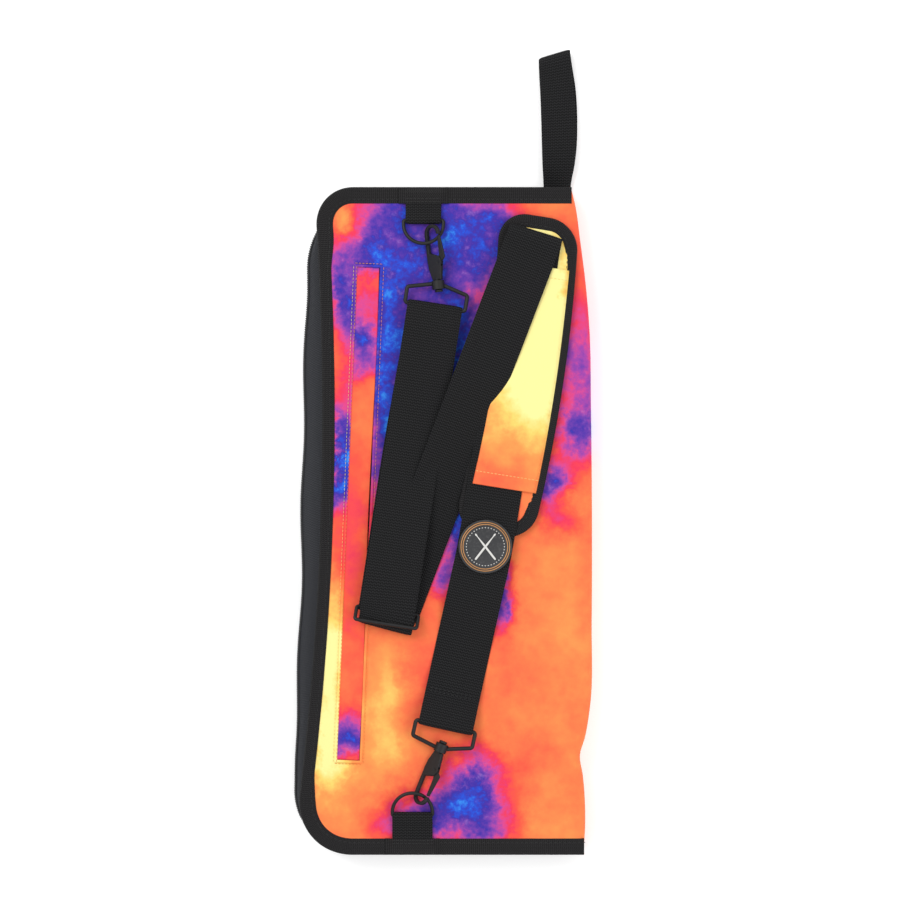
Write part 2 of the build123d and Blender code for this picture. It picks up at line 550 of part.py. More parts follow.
def make_folds():
    """Half-round folds where the strap turns back on itself."""
    def fold(low, high, point, lean, side):
        bend = (high - low) / 2
        ring = Circle(bend + WEB_T / 2) - Circle(bend - WEB_T / 2)
        keep = Pos(side * 50, 0) * Rectangle(100, 100)
        solid = extrude(Plane.YZ * (ring & keep), WEB_W / 2, both=True)
        return placed(solid, point, lean, (low + high) / 2)

    top_lean = (SLEEVE_LEAN + MIDDLE_LEAN) / 2
    PARTS["strap_top_fold"] = fold(SLEEVED_Z, MIDDLE_Z, along(TOP_FOLD, top_lean, 4.4), top_lean, 1)
    low_lean = (UPPER_LEAN + MIDDLE_LEAN) / 2
    PARTS["strap_bottom_fold"] = fold(ON_PANEL_Z, UPPER_Z, along(BOTTOM_FOLD, low_lean, 1.6), low_lean, -1)


def make_middle_strap():
    """Run from the top fold down across the pad's edge and under the upper run, turning as it drops."""
    stations = (
        # distance from the top fold, height as a share from the panel to the sleeve's top, sideways tilt
        (2.0, 1.0, 0.0),
        (70.0, 1.0, 0.0),
        (104.0, 1.04, 8.0),
        (126.0, 0.947, 12.5),
        (148.0, 0.82, 12.5),
        (182.0, 0.62, 12.5),
        (206.0, 0.387, 6.0),
        (222.0, 0.0, 0.0),
        (280.0, 0.0, 0.0),
    )
    sections = []
    for distance, share, tilt in stations:
        height = ON_PANEL_Z + share * (MIDDLE_Z - ON_PANEL_Z)
        section = Pos(0, height) * Rot(0, 0, tilt) * Rectangle(WEB_W, WEB_T)
        place = Plane(origin=(0, -distance, 0), x_dir=(1, 0, 0), z_dir=(0, -1, 0))
        sections.append(place * section)
    PARTS["strap_middle_run"] = placed(loft(sections, ruled=True), TOP_FOLD, MIDDLE_LEAN)


def make_upper_strap():
    """Front layer from the bottom fold to the upper strap loop, its return layer and the sewn tail."""
    bend = LOOP_BEND_R
    length = hypot(UPPER_BAR[0] - BOTTOM_FOLD[0], UPPER_BAR[1] - BOTTOM_FOLD[1])
    front = Line((4.0, UPPER_Z), (length, UPPER_Z))
    turn = ThreePointArc((length, UPPER_Z), (length + bend, UPPER_BAR_Z), (length, UPPER_BAR_Z - bend))
    back = FilletPolyline(
        (length, UPPER_BAR_Z - bend), (length - 6, UPPER_BAR_Z - bend), (length - 24, RETURN_Z),
        (ADJUSTER_SPAN + TAIL_LENGTH + ADJUST_TRAVEL + 2, RETURN_Z), radius=6)
    PARTS["strap_upper_run"] = placed(ribbon(front + turn + back, WEB_W), BOTTOM_FOLD, UPPER_LEAN)
    loop = TAIL_LOOP_R - WEB_T / 2
    below = TAIL_BAR_Z - loop
    far = (ADJUSTER_SPAN - loop, TAIL_BAR_Z)
    hook = ThreePointArc((ADJUSTER_SPAN, below), far, (ADJUSTER_SPAN, RETURN_Z))
    tail = hook + Line((ADJUSTER_SPAN, RETURN_Z), (ADJUSTER_SPAN + TAIL_LENGTH, RETURN_Z))
    tail = Line((ADJUSTER_SPAN + 4, below), (ADJUSTER_SPAN, below)) + tail
    PARTS["strap_tail"] = placed(ribbon(tail, WEB_W), BOTTOM_FOLD, UPPER_LEAN)


def make_adjuster():
    """Wire slide: its lower bar lies over the front layer and its upper bar holds the sewn tail."""
    high = UPPER_Z + WEB_T / 2 + GAP + ADJUSTER_WIRE_R
    half = ADJUSTER_HALF
    wire = FilletPolyline(
        (0, 0, high), (half, 0, high), (half, ADJUSTER_SPAN, TAIL_BAR_Z),
        (-half, ADJUSTER_SPAN, TAIL_BAR_Z), (-half, 0, high), radius=[0, 1.6, 1.6, 1.6, 1.6], close=True)
    start = Plane(origin=wire @ 0, z_dir=wire % 0)
    slide = sweep(start * Circle(ADJUSTER_WIRE_R), path=wire)
    PARTS["strap_adjuster"] = placed(slide, BOTTOM_FOLD, UPPER_LEAN)


def make_pad():
    """Shoulder pad with a bound edge and the printed sleeve that the strap runs through."""
    low = TOP_Z + GAP

    def strip(inset, low_z, high_z):
        face = RectangleRounded(PAD_W - 2 * inset, PAD_LENGTH - 2 * inset, PAD_W * 0.3 - inset)
        return Pos(0, PAD_LENGTH / 2, low_z) * extrude(face, high_z - low_z)

    core = strip(1.0, low + PAD_BASE_T, PAD_TOP_Z)
    base = strip(PAD_BINDING_W, low, low + PAD_BASE_T)
    core -= strip(0, PAD_TOP_Z - 0.8, PAD_TOP_Z) - strip(PAD_BINDING_W, PAD_TOP_Z - 0.8, PAD_TOP_Z)
    ring = strip(0, low, PAD_TOP_Z) - core - base
    ring -= strip(PAD_BINDING_W, low - 1, PAD_TOP_Z + 1)
    roof_low = SLEEVED_Z + WEB_T / 2 + GAP
    standing = (Align.CENTER, Align.MIN, Align.MIN)
    outer = Box(SLEEVE_W, SLEEVE_LENGTH, SLEEVE_TOP_Z - PAD_TOP_Z, align=standing)
    tunnel = Box(WEB_W + 2 * SLEEVE_SIDE_FIT, SLEEVE_LENGTH, roof_low - PAD_TOP_Z, align=standing)
    sleeve = outer - tunnel
    axis_x = BEND_POINT[0] + (PAD_FOOT[1] - BEND_POINT[1]) * tan(radians(SLEEVE_LEAN))
    sleeve_foot = along((axis_x, PAD_FOOT[1]), SLEEVE_LEAN, SLEEVE_START)
    PARTS["pad_core"] = placed(core, PAD_FOOT, SLEEVE_LEAN)
    PARTS["pad_base"] = placed(base, PAD_FOOT, SLEEVE_LEAN)
    PARTS["pad_binding"] = placed(ring, PAD_FOOT, SLEEVE_LEAN)
    PARTS["pad_sleeve"] = placed(sleeve, sleeve_foot, SLEEVE_LEAN, PAD_TOP_Z)


def make_badge():
    """Round badge sewn on the strap below the pad."""
    place = Pos(BEND_POINT[0], BEND_POINT[1], SLEEVED_Z + WEB_T / 2)
    PARTS["badge_base"] = place * extrude(Circle(BADGE_R), BADGE_T)
    ring = Circle(BADGE_RING[1]) - Circle(BADGE_RING[0])
    PARTS["badge_ring"] = place * Pos(0, 0, BADGE_T) * extrude(ring, BADGE_RING_T)


def build():
    make_half("back", BACK_LEFT, 0.0, True)
    make_half("front", FRONT_LEFT, FRONT_Z, False)
    make_spine()
    make_stick_pocket()
    make_zip()
    make_outer_pocket()
    make_hang_loop()
    make_ring("top", TOP_TAB[0], TOP_TAB[1], 1, RING_TILT[0])
    make_ring("bottom", BOTTOM_TAB[0], BOTTOM_TAB[1], -1, RING_TILT[1])
    make_hook("top", UPPER_BAR, UPPER_BAR_Z, UPPER_LEAN, HOOK_LEAN[0], HOOK_ROLL[0], 1)
    make_hook("bottom", LOWER_BAR, LOWER_BAR_Z, LOWER_LEAN, HOOK_LEAN[1], HOOK_ROLL[1], -1)
    make_lower_strap()
    make_folds()
    make_middle_strap()
    make_upper_strap()
    make_adjuster()
    make_pad()
    make_badge()


build()
os.makedirs("parts", exist_ok=True)
for node, shape in PARTS.items():
    export_step(shape, "parts/" + node + ".step")
    print(node, len(shape.solids()), round(shape.volume, 1))
for name, place in HOOK_PLACES.items():
    print(name, "swivel", place.position, "ring bar", RING_BARS[name])
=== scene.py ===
from math import atan2, cos, hypot, radians, sin, tau

import bpy
import numpy as np
from bpy.props import FloatProperty, FloatVectorProperty, PointerProperty
from bpy.types import Operator, Panel, PropertyGroup
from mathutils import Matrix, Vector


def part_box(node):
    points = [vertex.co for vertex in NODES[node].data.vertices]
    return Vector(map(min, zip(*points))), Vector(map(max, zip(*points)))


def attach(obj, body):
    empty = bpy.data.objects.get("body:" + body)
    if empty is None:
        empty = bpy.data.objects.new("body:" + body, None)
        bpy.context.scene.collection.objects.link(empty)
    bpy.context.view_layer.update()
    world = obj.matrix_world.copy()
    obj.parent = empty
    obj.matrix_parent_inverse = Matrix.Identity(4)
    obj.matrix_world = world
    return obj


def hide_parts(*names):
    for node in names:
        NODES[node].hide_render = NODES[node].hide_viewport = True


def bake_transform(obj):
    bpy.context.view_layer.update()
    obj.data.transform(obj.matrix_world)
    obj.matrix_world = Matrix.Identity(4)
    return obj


bl_info = {
    "name": "Drum stick bag",
    "version": (1, 0, 0),
    "blender": (4, 5, 0),
    "location": "View3D > Sidebar > Stick Bag",
    "description": "Builds the soft pieces, finishes and studio of a drum stick bag",
    "category": "Object",
}

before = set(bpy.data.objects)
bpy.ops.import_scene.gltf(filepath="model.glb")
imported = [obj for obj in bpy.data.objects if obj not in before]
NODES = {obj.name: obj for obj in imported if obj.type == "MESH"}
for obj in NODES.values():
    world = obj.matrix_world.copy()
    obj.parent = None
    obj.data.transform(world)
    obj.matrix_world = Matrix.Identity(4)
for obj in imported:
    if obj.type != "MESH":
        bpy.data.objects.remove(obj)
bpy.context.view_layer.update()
MM = 0.001
# Half of the bag's height, thickness of a padded half, then the levels of the front half's inner
# and outer faces and of the zip, and the spine's hinge line, all in millimetres.
HALF_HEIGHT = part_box("front_foam")[1].y / MM + 1.2
PANEL_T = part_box("back_lining")[1].z / MM
FRONT_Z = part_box("front_lining")[0].z / MM
TOP_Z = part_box("front_shell")[1].z / MM
ZIP_Z = (PANEL_T + FRONT_Z) / 2
AXIS_X = (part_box("spine_shell")[0].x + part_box("spine_shell")[1].x) / 2 / MM


# ---- shapes ----------------------------------------------------------------
def smooth(t):
    """Smooth step: 3t^2 - 2t^3 of t held between 0 and 1."""
    t = np.clip(t, 0.0, 1.0)
    return t * t * (3 - 2 * t)


def stacked(*parts):
    """One array of points from grids of x, y and z, each repeated to fill the others' shape."""
    return np.stack(np.broadcast_arrays(*parts), -1)


def round_angles(count):
    """Angles even round a full turn, the last one short of the first."""
    return np.linspace(0, tau, count, endpoint=False)


def lengths(path):
    """Distance along a path to each of its points: the sum of the steps before it."""
    return np.concatenate([[0], np.cumsum(np.linalg.norm(np.diff(path, axis=0), axis=1))])


def points_at(path, distances):
    """Points of a path at distances along it, on the straight line between its own points."""
    at = lengths(path)
    return np.stack([np.interp(distances, at, path[:, i]) for i in range(3)], -1)


def resampled(path, count=0, spacing=1.0):
    """Same line with points even along it: that many, or as many as the spacing gives."""
    total = lengths(path)[-1]
    return points_at(path, np.linspace(0, total, count or int(total / spacing) + 1))


def turned_left(directions):
    """Level unit vectors a quarter turn to the left of the directions: (x, y) to (-y, x)."""
    x, y = directions[:, 0], directions[:, 1]
    left = np.stack([-y, x, 0 * x], -1)
    return left / np.linalg.norm(left, axis=1)[:, None]


def curve_through(stations, spacing):
    """Points every so many mm on a smooth curve through the stations: cubic Hermite pieces whose
    slopes are the neighbouring chords' slopes, each weighted by the other's length."""
    s = np.asarray(stations, float)
    h = np.maximum(np.linalg.norm(np.diff(s[:, :3], axis=0), axis=1), 1e-6)
    d = np.diff(s, axis=0) / h[:, None]
    inner = (d[:-1] * h[1:, None] + d[1:] * h[:-1, None]) / (h[:-1] + h[1:])[:, None]
    m = np.vstack([d[:1], inner, d[-1:]])
    at = np.concatenate([[0], np.cumsum(h)])
    x = np.linspace(0, at[-1], max(int(at[-1] / spacing), 8) + 1)
    k = np.clip(np.searchsorted(at, x, side="right") - 1, 0, len(h) - 1)
    t = ((x - at[k]) / h[k])[:, None]
    hk = h[k][:, None]
    value = (2 * t**3 - 3 * t**2 + 1) * s[k] + (t**3 - 2 * t**2 + t) * hk * m[k]
    return value + (3 * t**2 - 2 * t**3) * s[k + 1] + (t**3 - t**2) * hk * m[k + 1]


def grid_faces(rows, columns, closed):
    """Quads of a grid of points; closed joins the last column to the first."""
    index = np.arange(rows * columns).reshape(rows, columns)
    if closed:
        index = np.concatenate([index, index[:, :1]], axis=1)
    quads = [index[:-1, :-1], index[:-1, 1:], index[1:, 1:], index[1:, :-1]]
    return np.stack(quads, axis=-1).reshape(-1, 4)


def make_piece(name, points, faces, run=None, sharp=50.0):
    """Mesh object from points in millimetres and faces. A closed shape is turned so that its
    signed volume, the sum of a.(b x c) / 6, is positive. run is (across, along) in mm."""
    points = np.asarray(points, float).reshape(-1, 3)
    mesh = bpy.data.meshes.new(name)
    mesh.from_pydata((points * MM).tolist(), [], [list(map(int, f)) for f in faces])
    mesh.calc_loop_triangles()
    tri = np.empty(len(mesh.loop_triangles) * 3, np.int32)
    mesh.loop_triangles.foreach_get("vertices", tri)
    a, b, c = (points[tri.reshape(-1, 3)[:, i]] for i in range(3))
    if (a * np.cross(b, c)).sum() < 0:
        mesh.flip_normals()
    if run is not None:
        lay = np.zeros((len(points), 3), np.float32)
        lay[:, :2] = run.reshape(-1, 2)
        mesh.attributes.new("run", "FLOAT_VECTOR", "POINT").data.foreach_set("vector", lay.ravel())
    mesh.shade_smooth()
    mesh.set_sharp_from_angle(angle=radians(sharp))
    mesh.update()
    made = bpy.data.objects.new(name, mesh)
    bpy.context.scene.collection.objects.link(made)
    return made


def tube_piece(name, rings, run=None, capped=True, sharp=50.0):
    """Closed sections carried along a path: rings is (rows, columns, 3)."""
    rows, columns = rings.shape[:2]
    faces = grid_faces(rows, columns, True).tolist()
    if capped:
        faces.append(list(range(columns))[::-1])
        faces.append(list(range((rows - 1) * columns, rows * columns)))
    return make_piece(name, rings, faces, run, sharp)


def sheet_piece(name, points, thickness, run=None, offset=-1.0):
    """Sheet over a grid of points, given its thickness by Solidify."""
    made = make_piece(name, points, grid_faces(*points.shape[:2], False), run)
    wall = made.modifiers.new("thickness", "SOLIDIFY")
    wall.thickness = thickness * MM
    wall.offset = offset
    return made


def ribbon_piece(name, edges, thickness, across=19, spacing=1.4):
    """Woven tape. edges holds stations (left x, y, z, right x, y, z); each section is a flat oval
    t(a) = T/2 (1 - (2a - 1)^10) on both sides of the line from the left edge to the right."""
    path = curve_through(edges, spacing)
    left, right = path[:, :3], path[:, 3:]
    centre = (left + right) / 2
    tangent = np.gradient(centre, axis=0)
    normal = np.cross(right - left, tangent)
    normal /= np.maximum(np.linalg.norm(normal, axis=1), 1e-9)[:, None]
    share = (1 - np.cos(np.linspace(0, np.pi, across))) / 2
    rise = thickness / 2 * (1 - (2 * share - 1) ** 10)
    share = np.concatenate([share, share[::-1][1:-1]])
    rise = np.concatenate([rise, -rise[::-1][1:-1]])
    rings = left[:, None] + (right - left)[:, None] * share[None, :, None]
    rings = rings + normal[:, None] * rise[None, :, None]
    width = np.linalg.norm(right - left, axis=1)[:, None]
    run = stacked(share[None] * width, lengths(centre)[:, None])
    return tube_piece(name, rings, run, sharp=70)


def run_edges(point, lean, stations, half=19.0):
    """Edge stations of a run from a point: (distance, height, tilt, extra lean) each."""
    found = []
    for distance, height, tilt, turn in stations:
        a, b = radians(lean), radians(lean + turn)
        x = point[0] + sin(a) * distance
        y = point[1] + cos(a) * distance
        wide = half * cos(radians(tilt))
        drop = half * sin(radians(tilt))
        found.append((x - wide * cos(b), y + wide * sin(b), height + drop,
                      x + wide * cos(b), y - wide * sin(b), height - drop))
    return found


def stitch_piece(name, points, directions, length=2.3, radius=0.28, lift=(0, 0, 1)):
    """Row of thread stitches: each an ellipsoid of 5 rings of 6 points, long in its direction."""
    ring, count = 6, 5
    turn = round_angles(ring)
    polar = np.linspace(0.15, np.pi - 0.15, count)
    one_stitch = np.stack([
        np.repeat(-np.cos(polar), ring) * length / 2,
        np.tile(np.cos(turn), count) * np.repeat(np.sin(polar), ring) * radius,
        np.tile(np.sin(turn), count) * np.repeat(np.sin(polar), ring) * radius,
    ], -1)
    along = directions / np.linalg.norm(directions, axis=1)[:, None]
    side = np.cross(np.broadcast_to(np.array(lift, float), along.shape), along)
    side /= np.linalg.norm(side, axis=1)[:, None]
    up = np.cross(along, side)
    axes = np.stack([along, side, up], 1)
    shape = points[:, None] + np.einsum("kc,ncx->nkx", one_stitch, axes)
    size = ring * count
    ends = [list(range(ring))[::-1], list(range(size - ring, size))]
    one = grid_faces(count, ring, True).tolist() + ends
    faces = [[v + size * i for v in f] for i in range(len(points)) for f in one]
    return make_piece(name, shape, faces, sharp=180)


def spaced(path, pitch):
    """Points at an even pitch along a path and the direction there, over 0.5 mm each way."""
    at = np.arange(pitch / 2, lengths(path)[-1], pitch)
    direction = points_at(path, at + 0.5) - points_at(path, at - 0.5)
    return points_at(path, at), direction + 1e-9


def sew(name, lines, material, body, pitch=3.4, first=1, **sizes):
    """Numbered straight rows of stitches, one between each pair of points."""
    for number, line in enumerate(lines, first):
        stitches = spaced(np.array(line, float), pitch)
        dress(stitch_piece(f"{name}_{number}", *stitches, **sizes), material, body)


# ---- the bag's outline -----------------------------------------------------
# Left edges: x at the top, x at the foot, bow, corner radius at the top and at the foot.
FRONT_EDGE = (-92.2, -107.5, 12.3, 27.0, 42.0)
BACK_EDGE = (-94.0, -106.5, 1.0, 56.0, 45.0)
ZIP_EDGE = (-96.0, -107.0, 1.7, 56.0, 45.0)
ZIP_SHORT = 4.5  # how far the zip's line stops short of the spine's side
# Right edge, along the folded spine: height, then x.
SIDE_STATIONS = (
    (-HALF_HEIGHT, 94.0), (-210.0, 95.2), (-176.0, 93.6), (-162.0, 91.6), (-150.0, 95.0),
    (-128.0, 98.6), (-70.0, 99.7), (0.0, 99.9), (80.0, 99.2), (130.0, 98.3), (165.0, 95.4),
    (195.0, 91.6), (217.0, 88.6), (HALF_HEIGHT, 85.4),
)
SIDE_Y, SIDE_X = curve_through([(y, x, 0) for y, x in SIDE_STATIONS], 2.0)[:, :2].T


def side_x(y):
    """Outer side of the folded spine at a height up the bag."""
    return np.interp(y, SIDE_Y, SIDE_X)


def left_x(edge, y, inset=0.0):
    """Left edge: a line with a parabola's bow, and a circle's quarter at each corner."""
    top, foot, bow, top_r, foot_r = edge
    half = HALF_HEIGHT - inset
    share = (y + HALF_HEIGHT) / (2 * HALF_HEIGHT)
    x = foot + (top - foot) * share + bow * (1 - (y / HALF_HEIGHT) ** 2) + inset
    for radius, level in ((top_r - inset, y), (foot_r - inset, -y)):
        over = np.clip(level - (half - radius), 0, radius)
        x = x + radius - np.sqrt(radius**2 - over**2)
    return x


def rim_path(edge, inset=0.0, short=-0.3, count=420):
    """Points round the open rim from the top right to the foot right, and inward directions.
    The left stretch follows left_x at heights half * sin(angle), so corners are fine. The line
    stops short of the spine's side by so many mm."""
    half = HALF_HEIGHT - inset
    level = half * np.sin(np.linspace(np.pi / 2, -np.pi / 2, count))
    x = left_x(edge, level, inset)
    ends = []
    for height in (half, -half):
        stop = float(side_x(height)) - short
        join = float(left_x(edge, np.array(height), inset))
        run = np.linspace(stop, join, 90)
        ends.append(np.stack([run, np.full_like(run, height), 0 * run], -1))
    left = np.stack([x, level, 0 * x], -1)
    path = np.concatenate([ends[0][:-1], left, ends[1][::-1][1:]])
    path = resampled(path, spacing=1.3)
    return path, turned_left(np.gradient(path, axis=0))


def panel_waves(x, y):
    """Soft unevenness of foam under cloth, in mm: 0.32 of two sine waves multiplied, plus 0.2 of
    one along the bag that sways."""
    wave = np.sin(x / 31 + y / 47) * np.sin(y / 38 - x / 90)
    return 0.32 * wave + 0.2 * np.sin(y / 17 + 2 * np.sin(x / 40))


# ---- shader expressions ----------------------------------------------------
class Value:
    """A shader value: arithmetic on it adds Math nodes."""

    def __init__(self, finish, socket):
        self.finish = finish
        self.socket = socket

    def math(self, operation, *others):
        settings = {"operation": operation}
        sockets = dict(enumerate((self, *others)))
        return self.finish.node("ShaderNodeMath", settings, sockets)

    def __add__(self, other):
        return self.math("ADD", other)

    def __sub__(self, other):
        return self.math("SUBTRACT", other)

    def __mul__(self, other):
        return self.math("MULTIPLY", other)

    def __rsub__(self, other):
        return (self * -1.0).math("ADD", other)

    __radd__ = __add__
    __rmul__ = __mul__

    def sine(self):
        return self.math("SINE")

    def vector(self, operation, other=None, out=0):
        sockets = {0: self} if other is None else {0: self, 1: other}
        return self.finish.node("ShaderNodeVectorMath", {"operation": operation}, sockets, out)

    def band(self, low, high):
        """0 at low, 1 at high, smooth between."""
        settings = {"interpolation_type": "SMOOTHSTEP"}
        return self.finish.node("ShaderNodeMapRange", settings, {0: self, 1: low, 2: high})


class Finish:
    """A material being made."""

    def __init__(self, name):
        self.material = bpy.data.materials.new(name)
        self.material.use_nodes = True
        self.tree = self.material.node_tree
        self.surface = self.tree.nodes["Principled BSDF"]

    def node(self, kind, settings=None, sockets=None, out=0):
        """Adds a node: its settings, then its sockets' values or links; gives one output."""
        made = self.tree.nodes.new(kind)
        for key, value in (settings or {}).items():
            if key == "stops":
                self.set_stops(made.color_ramp, value)
            else:
                setattr(made, key, value)
        for key, value in (sockets or {}).items():
            self.put(made.inputs[key], value)
        return Value(self, made.outputs[out])

    def set_stops(self, ramp, stops):
        while len(ramp.elements) < len(stops):
            ramp.elements.new(0.5)
        for element, (place, colour) in zip(ramp.elements, stops):
            element.position = place
            element.color = (*colour, 1.0)

    def put(self, socket, value):
        if isinstance(value, Value):
            self.tree.links.new(value.socket, socket)
        else:
            socket.default_value = value

    def coords(self):
        """Place on the object, in millimetres."""
        place = self.node("ShaderNodeTexCoord", out="Object")
        return place.vector("MULTIPLY", (1000.0, 1000.0, 1000.0))

    def run(self):
        """Across and along the tape, in millimetres."""
        return self.node("ShaderNodeAttribute", {"attribute_name": "run"}, out="Vector")

    def parts(self, vector):
        cut = self.node("ShaderNodeSeparateXYZ", None, {0: vector})
        outputs = cut.socket.node.outputs
        return [Value(self, outputs[i]) for i in range(3)]

    def noise(self, vector, scale, detail=3.0, rough=0.55, out=0):
        settings = {"noise_dimensions": "3D"}
        sockets = {"Vector": vector, "Scale": scale, "Detail": detail, "Roughness": rough}
        return self.node("ShaderNodeTexNoise", settings, sockets, out)

    def mix(self, share, first, second, blend="MIX"):
        settings = {"data_type": "RGBA", "blend_type": blend}
        return self.node("ShaderNodeMix", settings, {0: share, 6: first, 7: second}, 2)

    def tone(self, value, stops):
        return self.node("ShaderNodeValToRGB", {"stops": stops}, {0: value})

    def bump(self, height, depth, strength=0.6):
        sockets = {"Strength": strength, "Distance": depth * MM, "Height": height}
        return self.node("ShaderNodeBump", None, sockets)

    def done(self, colour, roughness, normal=None, **plain):
        """Feeds the surface, and sets the sockets that are the same all over, named as in
        specular_ior_level."""
        for key, value in (("Base Color", colour), ("Roughness", roughness), ("Normal", normal)):
            if value is not None:
                self.put(self.surface.inputs[key], value)
        for socket in self.surface.inputs:
            key = socket.name.lower().replace(" ", "_")
            if key in plain:
                socket.default_value = plain.pop(key)
        if plain:
            raise KeyError(f"{self.material.name}: no such sockets: {sorted(plain)}")
        return self.material


def linear(red, green, blue):
    """Linear colour of a screen colour in 0 to 255."""
    shares = (np.array([red, green, blue]) / 255 + 0.055) / 1.055
    return tuple(float(v) for v in shares**2.4)


# ---- finishes --------------------------------------------------------------
HEAT_STOPS = (
    (0.00, linear(52, 138, 238)), (0.07, linear(36, 78, 212)), (0.15, linear(58, 44, 164)),
    (0.26, linear(106, 58, 170)), (0.36, linear(162, 68, 168)), (0.45, linear(220, 70, 140)),
    (0.53, linear(238, 54, 88)), (0.61, linear(250, 88, 66)), (0.70, linear(253, 124, 72)),
    (0.80, linear(253, 158, 82)), (0.90, linear(254, 212, 108)), (1.00, linear(255, 242, 158)),
)
FRONT_BLOBS = (
    # x, y, half width, half height in mm, change of heat
    (-38, 165, 36, 62, -0.52), (4, 190, 34, 34, -0.50), (-36, 70, 22, 78, -0.52),
    (-74, 152, 8, 15, -0.36), (-74, 182, 10, 14, -0.22), (-74, 52, 6, 21, -0.58),
    (-74, 22, 7, 14, -0.42), (4, 186, 9, 10, -0.2), (30, 196, 26, 22, -0.3),
    (12, 96, 14, 52, -0.62), (9, -4, 9, 18, -0.66), (1, -36, 12, 16, -0.44),
    (36, -56, 7, 15, -0.5), (38, -38, 8, 10, -0.34), (20, -178, 15, 17, -0.6),
    (24, -206, 19, 20, -0.5), (-22, -206, 22, 13, -0.44),
    (-2, -192, 16, 16, -0.3), (92, 106, 15, 50, -0.36), (80, 118, 7, 8, -0.2),
    (73, 24, 10, 14, -0.52), (88, 62, 14, 15, -0.34), (78, -2, 12, 10, -0.16),
    (-72, 212, 10, 10, 0.26), (-76, 116, 7, 17, 0.06), (-72, -30, 9, 26, -0.12),
    (-80, -92, 12, 36, 0.36), (-82, -160, 14, 30, 0.32), (-44, -118, 12, 32, 0.13),
    (-46, -160, 12, 20, 0.1), (-14, -110, 14, 30, -0.08), (36, -92, 12, 26, -0.05),
    (78, -60, 15, 32, 0.05), (92, 200, 16, 20, -0.06), (62, 214, 15, 9, 0.05),
    (70, -206, 16, 14, 0.04), (-84, -206, 12, 14, -0.04), (55, -170, 10, 20, -0.06),
)
LIP_BLOBS = (
    (-54, 174, 12, 6, -0.4), (-55, 152, 14, 10, -0.24), (-59, 128, 12, 12, -0.5),
    (-57, 108, 12, 10, -0.28), (-66, -20, 14, 90, -0.1), (-69, -152, 14, 11, -0.48),
    (-68, -136, 14, 8, -0.14), (-60, 60, 10, 20, 0.04),
)
SLEEVE_BLOBS = (
    (64, 190, 22, 40, 0.2), (62, 140, 20, 46, 0.26), (53, 90, 24, 30, 0.25), (74, 120, 9, 40, 0.12),
    (30, 30, 22, 16, -0.08), (36, -12, 30, 14, -0.2),
)
BACK_BLOBS = (
    (40, 150, 42, 60, -0.5), (-30, 190, 36, 26, -0.42), (60, 20, 24, 60, -0.4),
    (-20, -60, 26, 34, -0.5), (40, -170, 34, 32, -0.5), (-70, -150, 20, 46, 0.24),
    (-60, 60, 22, 50, 0.16), (10, 60, 18, 26, -0.3),
)


def printed_cloth(name, blobs, base):
    """Dyed print: heat is a base plus soft blobs, each its change times e^(-0.8 r^2), r measured
    in the blob's own half sizes, read at a place shaken by two noises, then a ramp of dyes."""
    f = Finish(name)
    place = f.coords()
    grey = (0.5, 0.5, 0.5)
    drift, fray = 26.0, 17.0  # mm that the noises shake a place by
    threads = 7.4  # radians of the weave's sine to a mm
    wide = f.noise(place, 0.03, 2.0, out="Color").vector("SUBTRACT", grey)
    fine = f.noise(place, 0.16, 5.0, 0.65, out="Color").vector("SUBTRACT", grey)
    shaken = place.vector("ADD", wide.vector("MULTIPLY", (drift, drift, 0.0)))
    shaken = shaken.vector("ADD", fine.vector("MULTIPLY", (fray, fray, 0.0)))
    heat = None
    for x, y, half_x, half_y, change in blobs:
        away = shaken.vector("SUBTRACT", (x, y, 0)).vector("MULTIPLY", (1 / half_x, 1 / half_y, 0))
        square = away.vector("DOT_PRODUCT", away, out="Value")
        spot = (square * -0.8).math("EXPONENT") * change
        heat = spot + base if heat is None else heat + spot
    cool = 1 - heat.band(0.25, 0.62)
    cloud = f.noise(place, 0.055, 4.0, 0.6) - 0.5
    speck = f.noise(place, 0.33, 4.0, 0.7) - 0.5
    heat = heat.math("MAXIMUM", 0.13) + cloud * 0.2 + speck * cool * 0.24 + cloud * cool * 0.5
    colour = f.tone(heat, HEAT_STOPS)
    pale = f.noise(place, 0.11, 5.0, 0.7).band(0.56, 0.72) * cool * 0.3
    colour = f.mix(pale, colour, (*linear(160, 130, 214), 1))
    x, y = f.parts(place)[:2]
    weave = (x * threads).sine() * (y * threads).sine()
    colour = f.mix((weave * 0.5 + 0.5) * 0.05, colour, (0.05, 0.02, 0.04, 1))
    slack = f.noise(place, 0.045, 3.0)
    height = weave * 0.35 + slack * 9.0
    rough = 0.62 + f.noise(place, 0.5) * 0.16
    return f.done(colour, rough, f.bump(height, 0.22, 0.5), specular_ior_level=0.22)


def woven_tape(name, dark, rib, warp, depth=0.3, rough=0.72):
    """Black woven tape: ribs across the run, cords along it, painted highlight on raised threads.
    """
    f = Finish(name)
    across, along = f.parts(f.run())[:2]
    place = f.coords()
    shift = (across * (tau / warp)).sine()
    ribs = (along * (tau / rib) + shift * 1.2).sine()
    cords = (across * (tau / warp * 2)).sine()
    weave = ribs * 0.6 + cords * 0.4
    fuzz = f.noise(place, 2.2, 2.0)
    # painted highlight on the weave's raised threads and painted shade in its hollows, with random
    # fuzz tone
    light = weave.band(-0.6, 1.0) * 0.75 + fuzz * 0.25
    # low is the painted shade tone and high the painted highlight tone of the tape's black
    low = tuple(v * 0.25 for v in dark)
    high = tuple(min(v * 3.2, 1) for v in dark)
    colour = f.mix(light, (*low, 1), (*high, 1))
    roughness = rough + fuzz * 0.15
    normal = f.bump(weave + fuzz * 0.5, depth, 0.8)
    return f.done(colour, roughness, normal, specular_ior_level=0.18)


